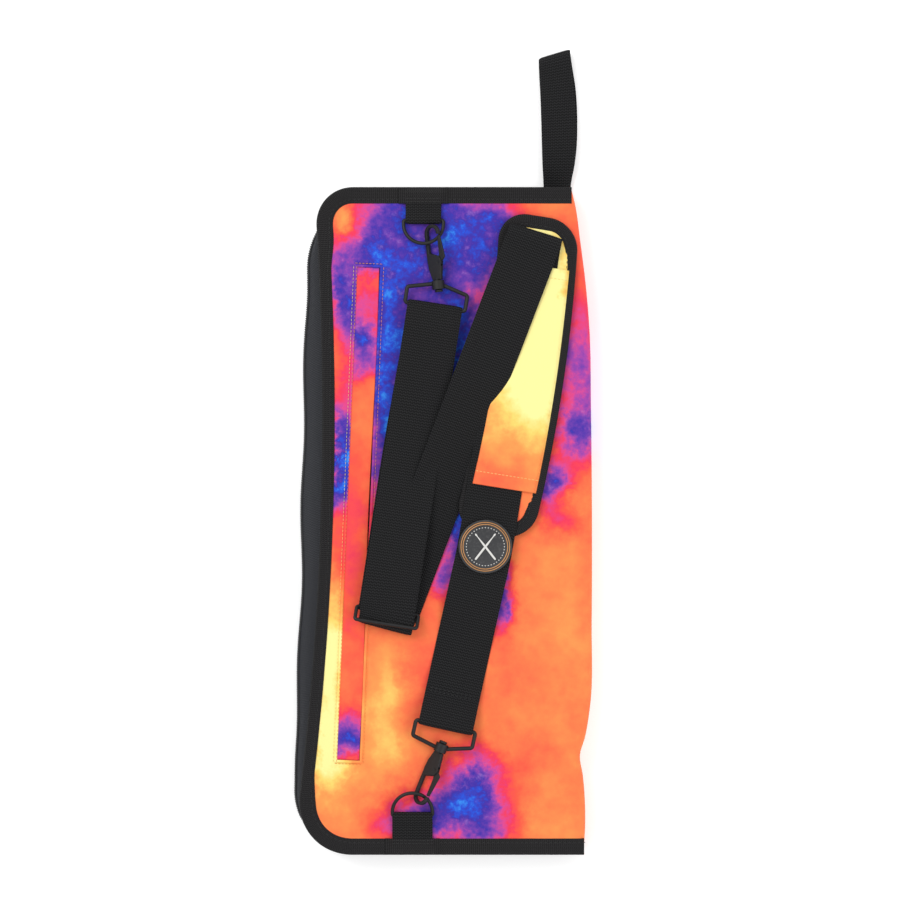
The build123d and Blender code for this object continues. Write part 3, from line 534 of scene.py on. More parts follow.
def plain_weave(name, dark, pitch, rough=0.75, depth=0.2):
    """Plain woven cloth: two crossed sine threads of a pitch in mm, painted highlight and shade on
    them, slubs and dust.
    """
    f = Finish(name)
    place = f.coords()
    x, y, z = f.parts(place)
    turn = tau / pitch
    weave = ((x + z * 0.6) * turn).sine() * (y * turn).sine()
    slub = f.noise(place, 0.35, 4.0, 0.65)
    # painted highlight on the weave's raised threads and painted shade in its hollows, with random
    # slub tone
    light = weave.band(-1.0, 1.0) * 0.5 + slub * 0.6
    colour = f.mix(light, (*(v * 0.5 for v in dark), 1), (*(v * 1.8 for v in dark), 1))
    normal = f.bump(weave + slub, depth, 0.6)
    return f.done(colour, rough + slub * 0.2, normal, specular_ior_level=0.2)


def painted_metal(name, dark, metallic=0.55, rough=0.36):
    """Cast metal under satin black paint: fine grain, and edges worn paler."""
    f = Finish(name)
    place = f.coords()
    grain = f.noise(place, 2.6, 4.0, 0.6)
    worn = f.noise(place, 0.45, 5.0, 0.7).band(0.58, 0.75)
    colour = f.mix(worn * 0.5, (*dark, 1), (*(v * 3.0 for v in dark), 1))
    normal = f.bump(grain + worn * 0.4, 0.06, 0.5)
    return f.done(colour, rough + grain * 0.22, normal, metallic=metallic)


def coil_plastic(name):
    """Nylon coil: satin dark plastic with a faint grain."""
    f = Finish(name)
    place = f.coords()
    grain = f.noise(place, 1.8, 3.0)
    colour = f.mix(grain, (0.006, 0.006, 0.007, 1), (0.026, 0.027, 0.03, 1))
    return f.done(colour, 0.38 + grain * 0.2, f.bump(grain, 0.05, 0.4))


def thread(name, colour):
    """Twisted thread: fine bands and fuzz on one colour, the darker bands painted shade in the
    twist's grooves.
    """
    f = Finish(name)
    x, y = f.parts(f.coords())[:2]
    twist = ((x + y) * 9.0).sine()
    # tint is painted shade in the twist's grooves, the ridges keeping the thread's own colour
    tint = f.mix(twist.band(-1, 1), (*(v * 0.65 for v in colour), 1), (*colour, 1))
    return f.done(tint, 0.6 + twist * 0.05, f.bump(twist, 0.08, 0.5))


def badge_rubber(name):
    """Moulded rubber with a fine pebble and dust."""
    f = Finish(name)
    place = f.coords()
    pebble = f.noise(place, 3.2, 3.0)
    dust = f.noise(place, 0.6, 5.0).band(0.45, 0.75)
    colour = f.mix(dust, (0.026, 0.027, 0.03, 1), (0.05, 0.05, 0.053, 1))
    return f.done(colour, 0.5 + pebble * 0.2, f.bump(pebble, 0.07, 0.5))


def copper_paint(name, colour, metallic=0.35):
    """Raised line filled with metallic paint, a little uneven."""
    f = Finish(name)
    place = f.coords()
    grain = f.noise(place, 3.0, 4.0)
    tint = f.mix(grain, (*(v * 0.75 for v in colour), 1), (*colour, 1))
    return f.done(tint, 0.32 + grain * 0.25, f.bump(grain, 0.04, 0.4), metallic=metallic)


def studio_paper(name):
    """Pale paper sweep with a faint tooth."""
    f = Finish(name)
    grain = f.noise(f.coords(), 0.4, 3.0)
    colour = f.mix(grain, (0.93, 0.93, 0.93, 1), (0.95, 0.95, 0.95, 1))
    glow = {"emission_color": (1, 1, 1, 1), "emission_strength": 0.3}
    return f.done(colour, 0.85 + grain * 0.1, **glow)


def colour_of(name):
    """A colour from the panel."""
    return tuple(getattr(bpy.context.scene.stick_bag_colours, name))


MAKERS = {
    "front print": lambda name: printed_cloth(name, FRONT_BLOBS, 0.71),
    "lip print": lambda name: printed_cloth(name, LIP_BLOBS, 0.68),
    "sleeve print": lambda name: printed_cloth(name, SLEEVE_BLOBS, 0.75),
    "back print": lambda name: printed_cloth(name, BACK_BLOBS, 0.7),
    "webbing": lambda name: woven_tape(name, colour_of("webbing"), 1.9, 2.6, 0.5),
    "binding": lambda name: woven_tape(name, colour_of("binding"), 1.4, 2.0, 0.35),
    "zip tape": lambda name: woven_tape(name, colour_of("zip_tape"), 1.2, 1.5, 0.15, 0.6),
    "lining": lambda name: plain_weave(name, (0.02, 0.02, 0.022), 0.9),
    "pocket cloth": lambda name: plain_weave(name, (0.014, 0.014, 0.016), 1.1),
    "metal": lambda name: painted_metal(name, colour_of("metal")),
    "steel": lambda name: painted_metal(name, (0.25, 0.25, 0.26), 1.0, 0.3),
    "coil": coil_plastic,
    "black thread": lambda name: thread(name, (0.02, 0.02, 0.021)),
    "orange thread": lambda name: thread(name, linear(250, 160, 80)),
    "cream thread": lambda name: thread(name, linear(252, 226, 140)),
    "rubber": badge_rubber,
    "copper": lambda name: copper_paint(name, linear(206, 150, 96)),
    "ivory": lambda name: copper_paint(name, (0.8, 0.79, 0.76), 0.0),
    "paper": studio_paper,
}
FINISHES = {}


def finish(name):
    """The finish of that name, made on its first use."""
    if name not in FINISHES:
        FINISHES[name] = MAKERS[name](name)
    return FINISHES[name]


def dress(piece, material, body=None, nodes=()):
    """Gives a piece its finish, the body it moves with and the nodes it stands for."""
    piece.data.materials.clear()
    piece.data.materials.append(finish(material))
    if body:
        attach(piece, body)
    if nodes:
        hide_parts(*nodes)
    return piece


# ---- padded halves ---------------------------------------------------------
def rows_up(inset, count):
    """Heights up the bag, closer together at its ends: half * sin of even angles, as a column."""
    half = HALF_HEIGHT - inset
    return half * np.sin(np.linspace(-np.pi / 2, np.pi / 2, count))[:, None]


def build_shell(name, edge, front):
    """Printed padded half with the spine's cover. Each row at height y runs across the face as
    x = L + s (R - L), turns round the shoulder on a quarter circle and comes back inside. Also
    gives each face's finish: 0 the print, 1 the lining inside, 2 the print over the spine."""
    inset, wall, radius = 1.4, 1.2, 5.0
    sunk, rolled, proudest = 0.35, 0.5, 0.6  # how far the face lies under and over the panel's
    inner_face = 1.1
    rows, columns = 236, 100
    y = rows_up(inset, rows)
    left = left_x(edge, y, inset)
    right = side_x(y)
    face_end = right - radius
    eased = (1 - np.cos(np.linspace(0, np.pi, columns)))[None] / 2
    share = eased * 0.7 + np.linspace(0, 1, columns)[None] * 0.3
    x_face = left + share * (face_end - left)
    edge_room = np.minimum(x_face - left, HALF_HEIGHT - inset - np.abs(y))
    plump = 0.7 * smooth(edge_room / 26) + panel_waves(x_face, y) * smooth((edge_room - 10) / 12)
    # A pinch in the spine's side, 162 mm below the middle, that fades 45 mm into the face.
    crease = np.exp(-(((y + 162) / 9) ** 2)) * np.clip((x_face - 55) / 45, 0, 1) ** 2
    plump = plump - 1.6 * crease
    if front:
        plump = plump - window_dent(x_face, y)
    at_rim = rolled * (1 - smooth(edge_room / 5))
    z_face = PANEL_T - at_rim + np.minimum(plump, proudest) - sunk
    turn = np.linspace(0, np.pi / 2, 9)[None, 1:]
    x_turn = face_end + radius * np.sin(turn)
    z_turn = z_face[:, -1:] - radius * (1 - np.cos(turn))
    low = PANEL_T - (TOP_Z - ZIP_Z if front else ZIP_Z)
    drop = np.linspace(0, 1, 7)[None, 1:]
    slack = 0.5 * np.sin(y / 26) * np.sin(drop * np.pi)
    x_side = right - slack * slack
    z_side = z_turn[:, -1:] + (low - z_turn[:, -1:]) * drop
    x_in = np.concatenate([x_side[:, ::-1], x_turn[:, ::-1]], 1) - wall
    z_in = np.concatenate([z_side[:, ::-1], z_turn[:, ::-1] - wall], 1)
    back_share = np.linspace(1, 0, 40)[None]
    x_back = left + back_share * (face_end - 2 - left)
    z_back = np.full_like(x_back, inner_face)
    xs = np.concatenate([x_face, x_turn, x_side, x_in, x_back], 1)
    zs = np.concatenate([z_face, z_turn, z_side, z_in, z_back], 1)
    zs = FRONT_Z + zs if front else PANEL_T - zs
    piece = tube_piece(name, stacked(xs, y, zs), sharp=80)
    column = np.arange(xs.shape[1])
    over_spine = column >= columns - 1
    inside = column >= columns + x_turn.shape[1] + x_side.shape[1] - 1
    lined = np.zeros(len(piece.data.polygons), np.int32)
    lined[: (rows - 1) * xs.shape[1]] = np.tile(np.where(inside, 1, over_spine * 2), rows - 1)
    return piece, lined


# The pocket's window: middle of its top and of its foot, half its width, length, direction and
# the depth of its mouth.
WINDOW_TOP, WINDOW_FOOT = (-54.3, 177.0), (-68.5, -167.0)
WINDOW_HALF = 19.5 / 2
WINDOW_LENGTH = hypot(WINDOW_TOP[0] - WINDOW_FOOT[0], WINDOW_TOP[1] - WINDOW_FOOT[1])
WINDOW_DEPTH = 2.4
WINDOW_UP = tuple((top - foot) / WINDOW_LENGTH for top, foot in zip(WINDOW_TOP, WINDOW_FOOT))


def window_point(across, along, z):
    """Place of a point given across and up the pocket window."""
    x = WINDOW_FOOT[0] + WINDOW_UP[0] * along + WINDOW_UP[1] * across
    y = WINDOW_FOOT[1] + WINDOW_UP[1] * along - WINDOW_UP[0] * across
    return stacked(x, y, z)


def window_dent(x, y):
    """Depth of the pouch's mouth below the face: WINDOW_DEPTH inside the window, 0 outside."""
    x, y = x - WINDOW_FOOT[0], y - WINDOW_FOOT[1]
    along = x * WINDOW_UP[0] + y * WINDOW_UP[1]
    across = x * WINDOW_UP[1] - y * WINDOW_UP[0]
    from_end = np.minimum(along, WINDOW_LENGTH - along)
    from_rim = np.minimum(WINDOW_HALF - 1.0 - np.abs(across), from_end)
    return WINDOW_DEPTH * smooth(from_rim / 1.6)


SEWN_IN = 2.6  # how far the binding's stitches lie inside its edge
BINDING_PITCH = 3.3  # from one of its stitches to the next


def binding_rings(edge, low, high):
    """Tape folded over the rim: a rounded U of a width that narrows beside the zip, carried along
    the rim, dipping 0.22 mm where it is sewn."""
    path, inward = rim_path(edge)
    beside = smooth((HALF_HEIGHT - 34 - np.abs(path[:, 1])) / 26)
    widest, narrower, rise, fold = 11.4, 2.9, 0.4, 1.4
    width = (widest - narrower * beside)[:, None]
    turn = np.linspace(-np.pi / 2, np.pi / 2, 9)[None]
    half = (high - low) / 2 + rise
    in_round = 1.6 * (1 - np.cos(turn)) - 0.2
    z_round = half * np.sin(turn)
    share = np.linspace(0, 1, 12)[None, 1:]
    in_top = fold + (width - fold) * share
    dip = 0.22 * np.exp(-(((in_top - width + SEWN_IN) / 0.9) ** 2))
    wave = 0.12 * np.sin(np.arange(len(path))[:, None] / 5.1) * share
    z_top = half - dip + wave - 0.25 * share**6
    ones = np.ones_like(width)
    in_end = in_top[:, -1:]
    step_in = np.concatenate([in_round * ones, in_top, in_end, in_end, in_top[:, ::-1]], 1)
    inner = np.full_like(width, half - rise - 1.0)
    step_z = np.concatenate([z_round * ones, z_top, inner, -inner, -z_top[:, ::-1]], 1)
    rings = path[:, None] + inward[:, None] * step_in[..., None]
    rings[..., 2] = (low + high) / 2 + step_z
    run = stacked(np.abs(step_in) + np.abs(step_z), lengths(path)[:, None])
    return rings, run, path + inward * (width - SEWN_IN)


class STICKBAG_OT_halves(Operator):
    """Builds both padded halves with their linings, bindings and stitches"""

    bl_idname = "stickbag.halves"
    bl_label = "Padded halves"

    def execute(self, context):
        front = self.half("front_fabric", FRONT_EDGE, True, ("front_shell", "front_foam"))
        replaced = ("back_shell", "back_foam", "spine_shell", "spine_foam")
        back = self.half("back_fabric", BACK_EDGE, False, replaced)
        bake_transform(front)
        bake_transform(back)
        halves = (
            ("back", BACK_EDGE, 0.0, PANEL_T, PANEL_T + 0.05, 1),
            ("front", FRONT_EDGE, FRONT_Z, TOP_Z, FRONT_Z - 0.05, -1),
        )
        for name, edge, low, high, lining_z, up in halves:
            rings, run, sewn = binding_rings(edge, low, high)
            binding = tube_piece(name + "_bound_edge", rings, run, sharp=75)
            dress(binding, "binding", name, (name + "_binding",))
            sewn[:, 2] = high + 0.12 if up < 0 else low - 0.12
            rows = stitch_piece(name + "_binding_stitches", *spaced(sewn, BINDING_PITCH))
            dress(rows, "black thread", name)
            self.lining(name, edge, lining_z, up)
        return {"FINISHED"}

    def half(self, name, edge, front, nodes):
        """Printed half: the lining on its inner faces, the front's print over the spine."""
        piece, lined = build_shell(name, edge, front)
        cloth = "front print" if front else "back print"
        dress(piece, cloth, None, nodes)
        piece.data.materials.append(finish("lining"))
        piece.data.materials.append(finish("front print"))
        piece.data.polygons.foreach_set("material_index", lined)
        return piece

    def lining(self, name, edge, z, up):
        """Lining sheet: a grid across the half, with soft ripples of 0.3 mm."""
        y = rows_up(8.0, 120)
        left = left_x(edge, y, 8.0)
        right = np.minimum(AXIS_X - 4, side_x(y) - 6)
        x = left + np.linspace(0, 1, 60)[None] * (right - left)
        ripple = 0.3 * np.sin(x / 9 + np.sin(y / 30)) * np.sin(y / 41)
        points = stacked(x, y, z + up * (0.35 + ripple))
        piece = sheet_piece(name + "_inner_cloth", points, 0.6, offset=0.0)
        dress(piece, "lining", name, (name + "_lining",))


class STICKBAG_OT_spine(Operator):
    """Builds the lining strip inside the spine"""

    bl_idname = "stickbag.spine"
    bl_label = "Spine"

    def execute(self, context):
        y = np.linspace(-HALF_HEIGHT + 3, HALF_HEIGHT - 3, 160)[:, None]
        share = np.linspace(0, 1, 14)[None]
        z = PANEL_T - 1.5 + share * (FRONT_Z - PANEL_T + 3.0)
        x = AXIS_X - 3.6 + 0.9 * np.sin(share * np.pi) + 0.25 * np.sin(y / 17)
        x = x + np.minimum(side_x(y) - 98.0, 0) - 0.6
        piece = sheet_piece("spine_inner_cloth", stacked(x, y, z), 0.7)
        dress(piece, "lining", "spine")
        return {"FINISHED"}


# ---- zip -------------------------------------------------------------------
def zip_line():
    """Line of the coils, swaying a millimetre in and out beside the bag and brought in by
    ZIP_SHORT at the top and foot, and inward directions."""
    path, inward = rim_path(ZIP_EDGE, short=ZIP_SHORT)
    beside = smooth((HALF_HEIGHT - 45 - np.abs(path[:, 1])) / 40)
    sway = 0.9 * np.sin(path[:, 1] / 16.5 + 1.0) + 0.5 * np.sin(path[:, 1] / 41)
    line = path + inward * (-beside * (sway + 0.6))[:, None]
    near = smooth((np.abs(line[:, 1]) - (HALF_HEIGHT - 30)) / 30)
    line[:, 1] -= np.sign(line[:, 1]) * ZIP_SHORT * near
    return line, inward


def coil_rings(path, z):
    """Coil: an oval whose radius swells with every tooth, r (1 + 0.28 sin(2 pi s / pitch))."""
    step, pitch = 0.26, 1.56
    line = resampled(path, spacing=step)
    side = turned_left(np.gradient(line, axis=0))
    swell = (1 + 0.28 * np.sin(tau * (np.arange(len(line)) * step) / pitch))[:, None]
    turn = round_angles(8)[None]
    rings = line[:, None] + side[:, None] * (swell * np.cos(turn))[..., None]
    rings[..., 2] = z + 0.74 * swell * np.sin(turn)
    return rings


def rounded_square(wave, half):
    """A coordinate of a square with round corners: half * sign(w) |w|^0.4 of a sine or cosine."""
    return np.sign(wave) * np.abs(wave) ** 0.4 * half


class STICKBAG_OT_zip(Operator):
    """Builds the zip's tapes and coils"""

    bl_idname = "stickbag.zip"
    bl_label = "Zip"

    def execute(self, context):
        line, inward = zip_line()
        for name, edge, panel_z, coil_z, up in (
            ("back", BACK_EDGE, PANEL_T - 0.6, ZIP_Z - 1.35, -1),
            ("front", FRONT_EDGE, FRONT_Z + 0.6, ZIP_Z + 1.35, 1),
        ):
            coil = tube_piece(name + "_coil", coil_rings(line, coil_z), sharp=180)
            dress(coil, "coil", name, (name + "_zip_coil",))
            self.tape(name, edge, line, inward, panel_z, coil_z, up)
        self.stops(line)
        return {"FINISHED"}

    def stops(self, line):
        """Crimped blocks over the ends of both coils: a rounded box round the line's last 3 mm."""
        turn = round_angles(16)
        along, grow = np.array([(-0.6, 0.8), (-0.3, 1.0), (2.4, 1.0), (2.8, 0.8)]).T[..., None]
        wide = rounded_square(np.cos(turn), 1.7) * grow
        rise = rounded_square(np.sin(turn), 2.4) * grow
        for number, end, inside in ((1, line[0], line[3]), (2, line[-1], line[-4])):
            run = (inside - end) / np.linalg.norm(inside - end)
            side = np.array([-run[1], run[0], 0.0])
            rings = end + run * along[..., None] + side * wide[..., None]
            rings[..., 2] = ZIP_Z + rise
            piece = tube_piece(f"zip_stop_{number}", rings)
            dress(piece, "metal", "back", ("zip_end_stops",) if number == 1 else ())

    def tape(self, name, edge, line, inward, panel_z, coil_z, up):
        """Tape from the coil to the half's rim: P = A (1 - t) + B t, bulging outwards by
        1.3 t sin(pi t) and away from the zip's level by 1.6 (1 - t) sin(pi t)."""
        rim, rim_in = rim_path(edge, 2.5, short=ZIP_SHORT)
        count, columns, width = 560, 15, 14
        a = resampled(line + inward * 0.9, count)
        b = resampled(rim, count)
        b_in = resampled(rim_in, count)
        t = np.linspace(0, 1, columns)[None, :, None]
        points = a[:, None] * (1 - t) + b[:, None] * t
        points = points - b_in[:, None] * 1.3 * np.sin(np.pi * t) * t
        height = coil_z + up * 0.5 + (panel_z - coil_z - up * 0.5) * t[..., 0]
        points[..., 2] = height + up * 1.6 * np.sin(np.pi * t[..., 0]) * (1 - t[..., 0])
        run = stacked(np.linspace(0, width, columns)[None], lengths(a)[:, None])
        piece = sheet_piece(name + "_tape", points, 0.7, run, offset=0.0)
        dress(piece, "zip tape", name, (name + "_zip_tape",))


# ---- outer pocket ----------------------------------------------------------
class STICKBAG_OT_pocket(Operator):
    """Builds the outer pocket's sewn edge, lip and pouch"""

    bl_idname = "stickbag.pocket"
    bl_label = "Outer pocket"

    def execute(self, context):
        half, length = WINDOW_HALF, WINDOW_LENGTH
        self.facing(half, length)
        self.lip(half, length)
        self.pouch(half, length)
        z, outside = TOP_Z + 0.62, 0.6
        sides = [
            (window_point(across, 0, z), window_point(across, length, z))
            for across in (-half - outside, half + outside, -half + 1.6)]
        ends = [
            (window_point(-half, up, z), window_point(half, up, z))
            for up in (-outside, length + outside)]
        thin = {"pitch": 2.6, "length": 1.9, "radius": 0.17}
        short = {"pitch": 2.4, "length": 1.8, "radius": 0.2}
        sew("pocket_stitches", sides[:1], "cream thread", "front", **thin)
        sew("pocket_stitches", sides[1:], "orange thread", "front", first=2, **thin)
        sew("pocket_end_stitches", ends, "orange thread", "front", **short)
        return {"FINISHED"}

    def facing(self, half, length):
        """Folded edge round the window: a rounded strip 2 mm wide carried round a rectangle."""
        corners = [(-half, 0), (-half, length), (half, length), (half, 0), (-half, 0)]
        turn = round_angles(12)
        rings = []
        for across, along in corners:
            step = np.cos(turn) - 1.0
            x = across + step * np.sign(across)
            y = along + step * np.sign(along - length / 2)
            rings.append(window_point(x, y, TOP_Z + 0.1 + 0.5 * np.sin(turn)))
        piece = tube_piece("pocket_edge", np.array(rings), capped=False, sharp=60)
        dress(piece, "front print", "front", ("pocket_facing",))

    def lip(self, half, length):
        """Lip over the window: raised by 0.3 sin(pi s) across, its right side waving in and out by
        0.5 mm."""
        across = np.linspace(-half + 1.9, half - 2.5, 24)[None]
        along = np.linspace(2.2, length - 2.2, 260)[:, None]
        share = (across + half) / (2 * half)
        z = TOP_Z + 0.12 + 0.3 * np.sin(share * np.pi) + 0.16 * np.sin(along / 19) * share
        bow = 0.5 * np.sin(along / length * np.pi * 3) * share
        points = window_point(across + bow, along, z)
        piece = sheet_piece("pocket_flap", points, 0.9)
        dress(piece, "lip print", None, ("pocket_lip", "pocket_lip_foot"))
        start, end = (
            tuple(map(float, window_point(0, up, TOP_Z) * MM)) for up in (118.0, 205.0))
        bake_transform(piece)

    def pouch(self, half, length):
        """Dark cloth of the pouch, seen in the mouth under the lip: level, with a 0.2 mm sag."""
        across = np.linspace(-half + 0.6, half - 0.6, 14)[None]
        along = np.linspace(0.6, length - 0.6, 160)[:, None]
        sag = 0.2 * np.sin(along / 23) * np.sin(across / 3)
        points = window_point(across, along, TOP_Z - 1.3 + sag)
        piece = sheet_piece("pocket_pouch", points, 0.3)
        dress(piece, "pocket cloth", "front", ("pocket_bag",))


# ---- inner pocket ----------------------------------------------------------
class STICKBAG_OT_stick_pocket(Operator):
    """Builds the inner stick pocket with its arched channels and hem"""

    bl_idname = "stickbag.stick_pocket"
    bl_label = "Stick pocket"

    def execute(self, context):
        low, high = (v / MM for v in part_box("stick_pocket"))
        pocket_left, pocket_foot = low.x, low.y
        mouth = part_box("stick_pocket_hem")[1].y / MM
        pitch, channel, seam = 54.0, 50.0, 4.0
        lift, arch_height = 1.2, 7.4
        for name, node, start, end, grow, cloth in (
            ("stick_channels", "stick_pocket", pocket_foot, mouth - 9.5, 0.0, "pocket cloth"),
            ("stick_mouth_hem", "stick_pocket_hem", mouth - 10.0, mouth, 0.35, "binding"),
        ):
            x = np.linspace(pocket_left, high.x, 170)[None]
            y = np.linspace(start, end, max(int((end - start) / 3), 6))[:, None]
            in_pitch = np.mod(x - pocket_left - seam, pitch)
            round_top = np.sin(np.pi * np.clip(in_pitch / channel, 0, 1))
            arch = np.where(in_pitch < channel, round_top, 0.0)
            closing = smooth((y - pocket_foot) / 26)
            slack = 1 + 0.05 * np.sin(y / 21 + x / 37)
            dome = arch_height * np.clip(arch, 0, 1) ** 0.8 * closing * slack
            z = PANEL_T + lift + grow + dome
            piece = sheet_piece(name, stacked(x, y, z), 0.7, stacked(x, y), offset=0.0)
            dress(piece, cloth, "back", (node,))
        z = PANEL_T + 1.65
        seams = [pocket_left + seam / 2 + pitch * i for i in range(4)]
        lines = [((x, pocket_foot + 1, z), (x, mouth - 11, z)) for x in seams]
        sew("channel_stitches", lines, "black thread", "back")
        return {"FINISHED"}


# ---- webbing ---------------------------------------------------------------
# Heights of the strap: lying on the bag, in the pad's sleeve, on the layer over the sleeve, on the
# upper run, on the layer under that, and at the slides' bars. Then the webbing's thickness and the
# radius of its middle round a bar.
ON_PANEL = TOP_Z + 0.95 + 0.25
SLEEVED = TOP_Z + 5.75 + 0.1
MIDDLE = SLEEVED + 2.7 + 0.25
UPPER = TOP_Z + 8.15 + 0.15
RETURN = UPPER - 1.65
BAR = TOP_Z + 6.0
WEB_T = 1.3
ROUND_BAR = 2.15
# Where the pad's foot lies, and the lean in degrees of the pad and the strap in its sleeve.
PAD_FOOT = (33.6, -10.0)
PAD_LEAN = 9.04


class STICKBAG_OT_strap(Operator):
    """Builds the shoulder strap's webbing, its return layer and its stitching"""

    bl_idname = "stickbag.strap"
    bl_label = "Shoulder strap"

    def execute(self, context):
        # Places along the strap in x and y, and the lean of the runs between them in degrees.
        lower_bar, bend, top_fold = (-1.2, -141.0), (26.0, -17.5), (60.2, 196.0)
        bottom_fold, upper_bar = (-42.5, -70.4), (-8.7, 147.5)
        across, up = upper_bar[0] - bottom_fold[0], upper_bar[1] - bottom_fold[1]
        length = hypot(across, up)
        lower_lean, middle_lean, upper_lean = 12.42, 20.9, np.degrees(atan2(across, up))
        bar = ROUND_BAR
        edges = run_edges(lower_bar, lower_lean, (
            (24.0, ON_PANEL, 0, 0), (16.0, ON_PANEL, 0, 0), (5.0, BAR - bar - 0.3, 0, 0),
            (1.2, BAR - bar, 0, 0), (-1.6, BAR - 1.4, 0, 0), (-bar, BAR, 0, 0),
            (-1.6, BAR + 1.4, 0, 0), (1.2, BAR + bar, 0, 0), (9.0, BAR + 0.9, 0, 0),
            (20.0, ON_PANEL + 2.0, 0, 0), (28.0, ON_PANEL + 1.7, 0, 0),
            (40.0, ON_PANEL + 0.1, 0, 0), (62.0, ON_PANEL, 0, 0), (80.0, ON_PANEL + 2.5, 0, 0),
            (97.0, SLEEVED, 0, 0), (122.0, SLEEVED, 0, -0.6),
        ))
        edges += run_edges(bend, PAD_LEAN, (
            (12.0, SLEEVED, 0, 0.2), (40.0, SLEEVED, 0, 0), (120.0, SLEEVED, 0, 0),
            (190.0, SLEEVED, 0, 0), (212.0, SLEEVED, 0, 5.0),
        ))
        crest = (SLEEVED + MIDDLE) / 2
        edges += run_edges(top_fold, 15.0, (
            (1.6, SLEEVED + 0.15, 0, 1.0), (3.3, crest, 0, 2.4), (1.6, MIDDLE - 0.15, 0, 3.2)))
        edges += run_edges(top_fold, middle_lean, (
            (-12.0, MIDDLE, 0, 1.2), (-40.0, MIDDLE + 0.2, 1.0, 0), (-70.0, MIDDLE + 0.3, 2.0, 0),
            (-104.0, MIDDLE + 0.3, 8.0, -0.8), (-126.0, MIDDLE - 0.3, 12.5, -1.0),
            (-148.0, MIDDLE - 1.2, 12.5, -0.6), (-182.0, MIDDLE - 2.8, 12.5, 0),
            (-206.0, ON_PANEL + 2.9, 6.0, 0), (-224.0, ON_PANEL + 0.2, 0, 0),
            (-262.0, ON_PANEL, 0, 0), (-272.0, ON_PANEL, 0, -2.0),
        ))
        middle = (ON_PANEL + UPPER) / 2
        half_fold = (UPPER - ON_PANEL) / 2
        edges += run_edges(bottom_fold, (upper_lean + middle_lean) / 2, (
            (0.6, ON_PANEL + 0.1, 0, 0), (-half_fold * 0.62, middle - half_fold * 0.7, 0, 0),
            (-half_fold * 0.95, middle, 0, 0), (-half_fold * 0.62, middle + half_fold * 0.7, 0, 0),
            (0.6, UPPER - 0.1, 0, 0)))
        edges += run_edges(bottom_fold, upper_lean, (
            (9.0, UPPER, 0, 0), (40.0, UPPER, 0.6, 0), (110.0, UPPER + 0.1, -0.6, 0),
            (190.0, UPPER, 0, 0), (length, BAR + bar, 0, 0), (length + 1.6, BAR + 1.4, 0, 0),
            (length + bar, BAR, 0, 0), (length + 1.6, BAR - 1.4, 0, 0),
            (length - 0.4, BAR - bar, 0, 0), (length - 7.0, BAR - bar + 0.2, 0, 0),
            (length - 24.0, RETURN, 0, 0), (length - 36.0, RETURN, 0, 0),
        ))
        strap = ribbon_piece("strap_webbing", edges, WEB_T)
        dress(strap, "webbing", "front", (
            "strap_lower_run", "strap_top_fold", "strap_middle_run", "strap_bottom_fold",
            "strap_upper_run"))
        self.return_layer(bottom_fold, upper_lean, length)
        self.stitches(lower_bar, lower_lean)
        return {"FINISHED"}

    def return_layer(self, fold, lean, length):
        """Layer under the upper run, from its sewn loop on the slide's bar to the top."""
        low = TOP_Z + 4.55
        stations = (
            (16.0, low - 2.1, 0, 0), (10.5, low - 2.0, 0, 0), (8.0, low - 1.6, 0, 0),
            (6.9, low, 0, 0), (8.0, low + 1.6, 0, 0), (11.0, RETURN, 0, 0), (40.0, RETURN, 0, 0.5),
            (120.0, RETURN, 0, 0.9), (length - 34.0, RETURN - 0.02, 0, 0.3),
        )
        edges = np.array(run_edges(fold, lean, stations))
        edges[:-1, (0, 3)] -= 1.3  # lies a little left of the upper run, but for its top end
        piece = ribbon_piece("strap_return_layer", edges, WEB_T)
        dress(piece, "webbing", None, ("strap_tail",))
        ends = run_edges(fold, lean, ((length - 40.0, RETURN, 0, 0), (44.0, RETURN, 0, 0)), 0.0)
        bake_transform(piece)

    def stitches(self, bar, lean):
        """Double row across the sewn end of the lower run, laid on the webbing's top."""
        z = ON_PANEL + 2.72
        ends = run_edges(bar, lean, ((21.5, z, 0, 0), (23.6, z, 0, 0)), 16.5)
        lines = [(end[:3], end[3:]) for end in ends]
        sew("strap_end_stitches", lines, "black thread", "front", pitch=3.0, length=2.0)


class STICKBAG_OT_hang_loop(Operator):
    """Builds the webbing loop by the top edge"""

    bl_idname = "stickbag.hang_loop"
    bl_label = "Hang loop"

    def execute(self, context):
        # y, z, middle x, half width, rise of the right end over the left
        stations = (
            (222.0, 3.4, 76.4, 9.4, 0.0), (231.0, 3.8, 76.4, 9.4, 0.0),
            (238.0, 4.6, 76.6, 9.9, 0.0), (246.0, 6.6, 77.2, 11.0, 0.4),
            (256.0, 8.0, 77.4, 11.6, 0.8), (275.0, 8.4, 77.2, 11.9, 1.4),
            (296.0, 8.2, 76.4, 11.8, 2.2), (312.0, 8.0, 75.2, 11.4, 4.0),
            (321.5, 7.6, 74.5, 11.0, 6.0), (324.0, 6.2, 74.4, 10.9, 6.6),
            (324.6, 4.6, 74.5, 10.9, 6.6), (323.4, 2.6, 74.7, 10.9, 6.4),
            (318.0, 1.5, 75.3, 11.2, 5.0), (300.0, 1.2, 77.6, 11.8, 2.6),
            (276.0, 1.2, 78.7, 11.9, 1.4), (256.0, 1.3, 78.3, 11.5, 0.8),
            (246.0, 1.8, 77.6, 10.8, 0.4), (238.0, 2.6, 76.8, 9.9, 0.0),
            (231.0, 2.4, 76.4, 9.4, 0.0), (222.0, 2.0, 76.4, 9.4, 0.0),
        )
        edges = [(x - w, y - r / 2, z, x + w, y + r / 2, z) for y, z, x, w, r in stations]
        loop = ribbon_piece("hang_loop_webbing", edges, 1.5)
        dress(loop, "webbing", None, ("hang_loop", "hang_loop_root"))
        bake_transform(loop)
        return {"FINISHED"}


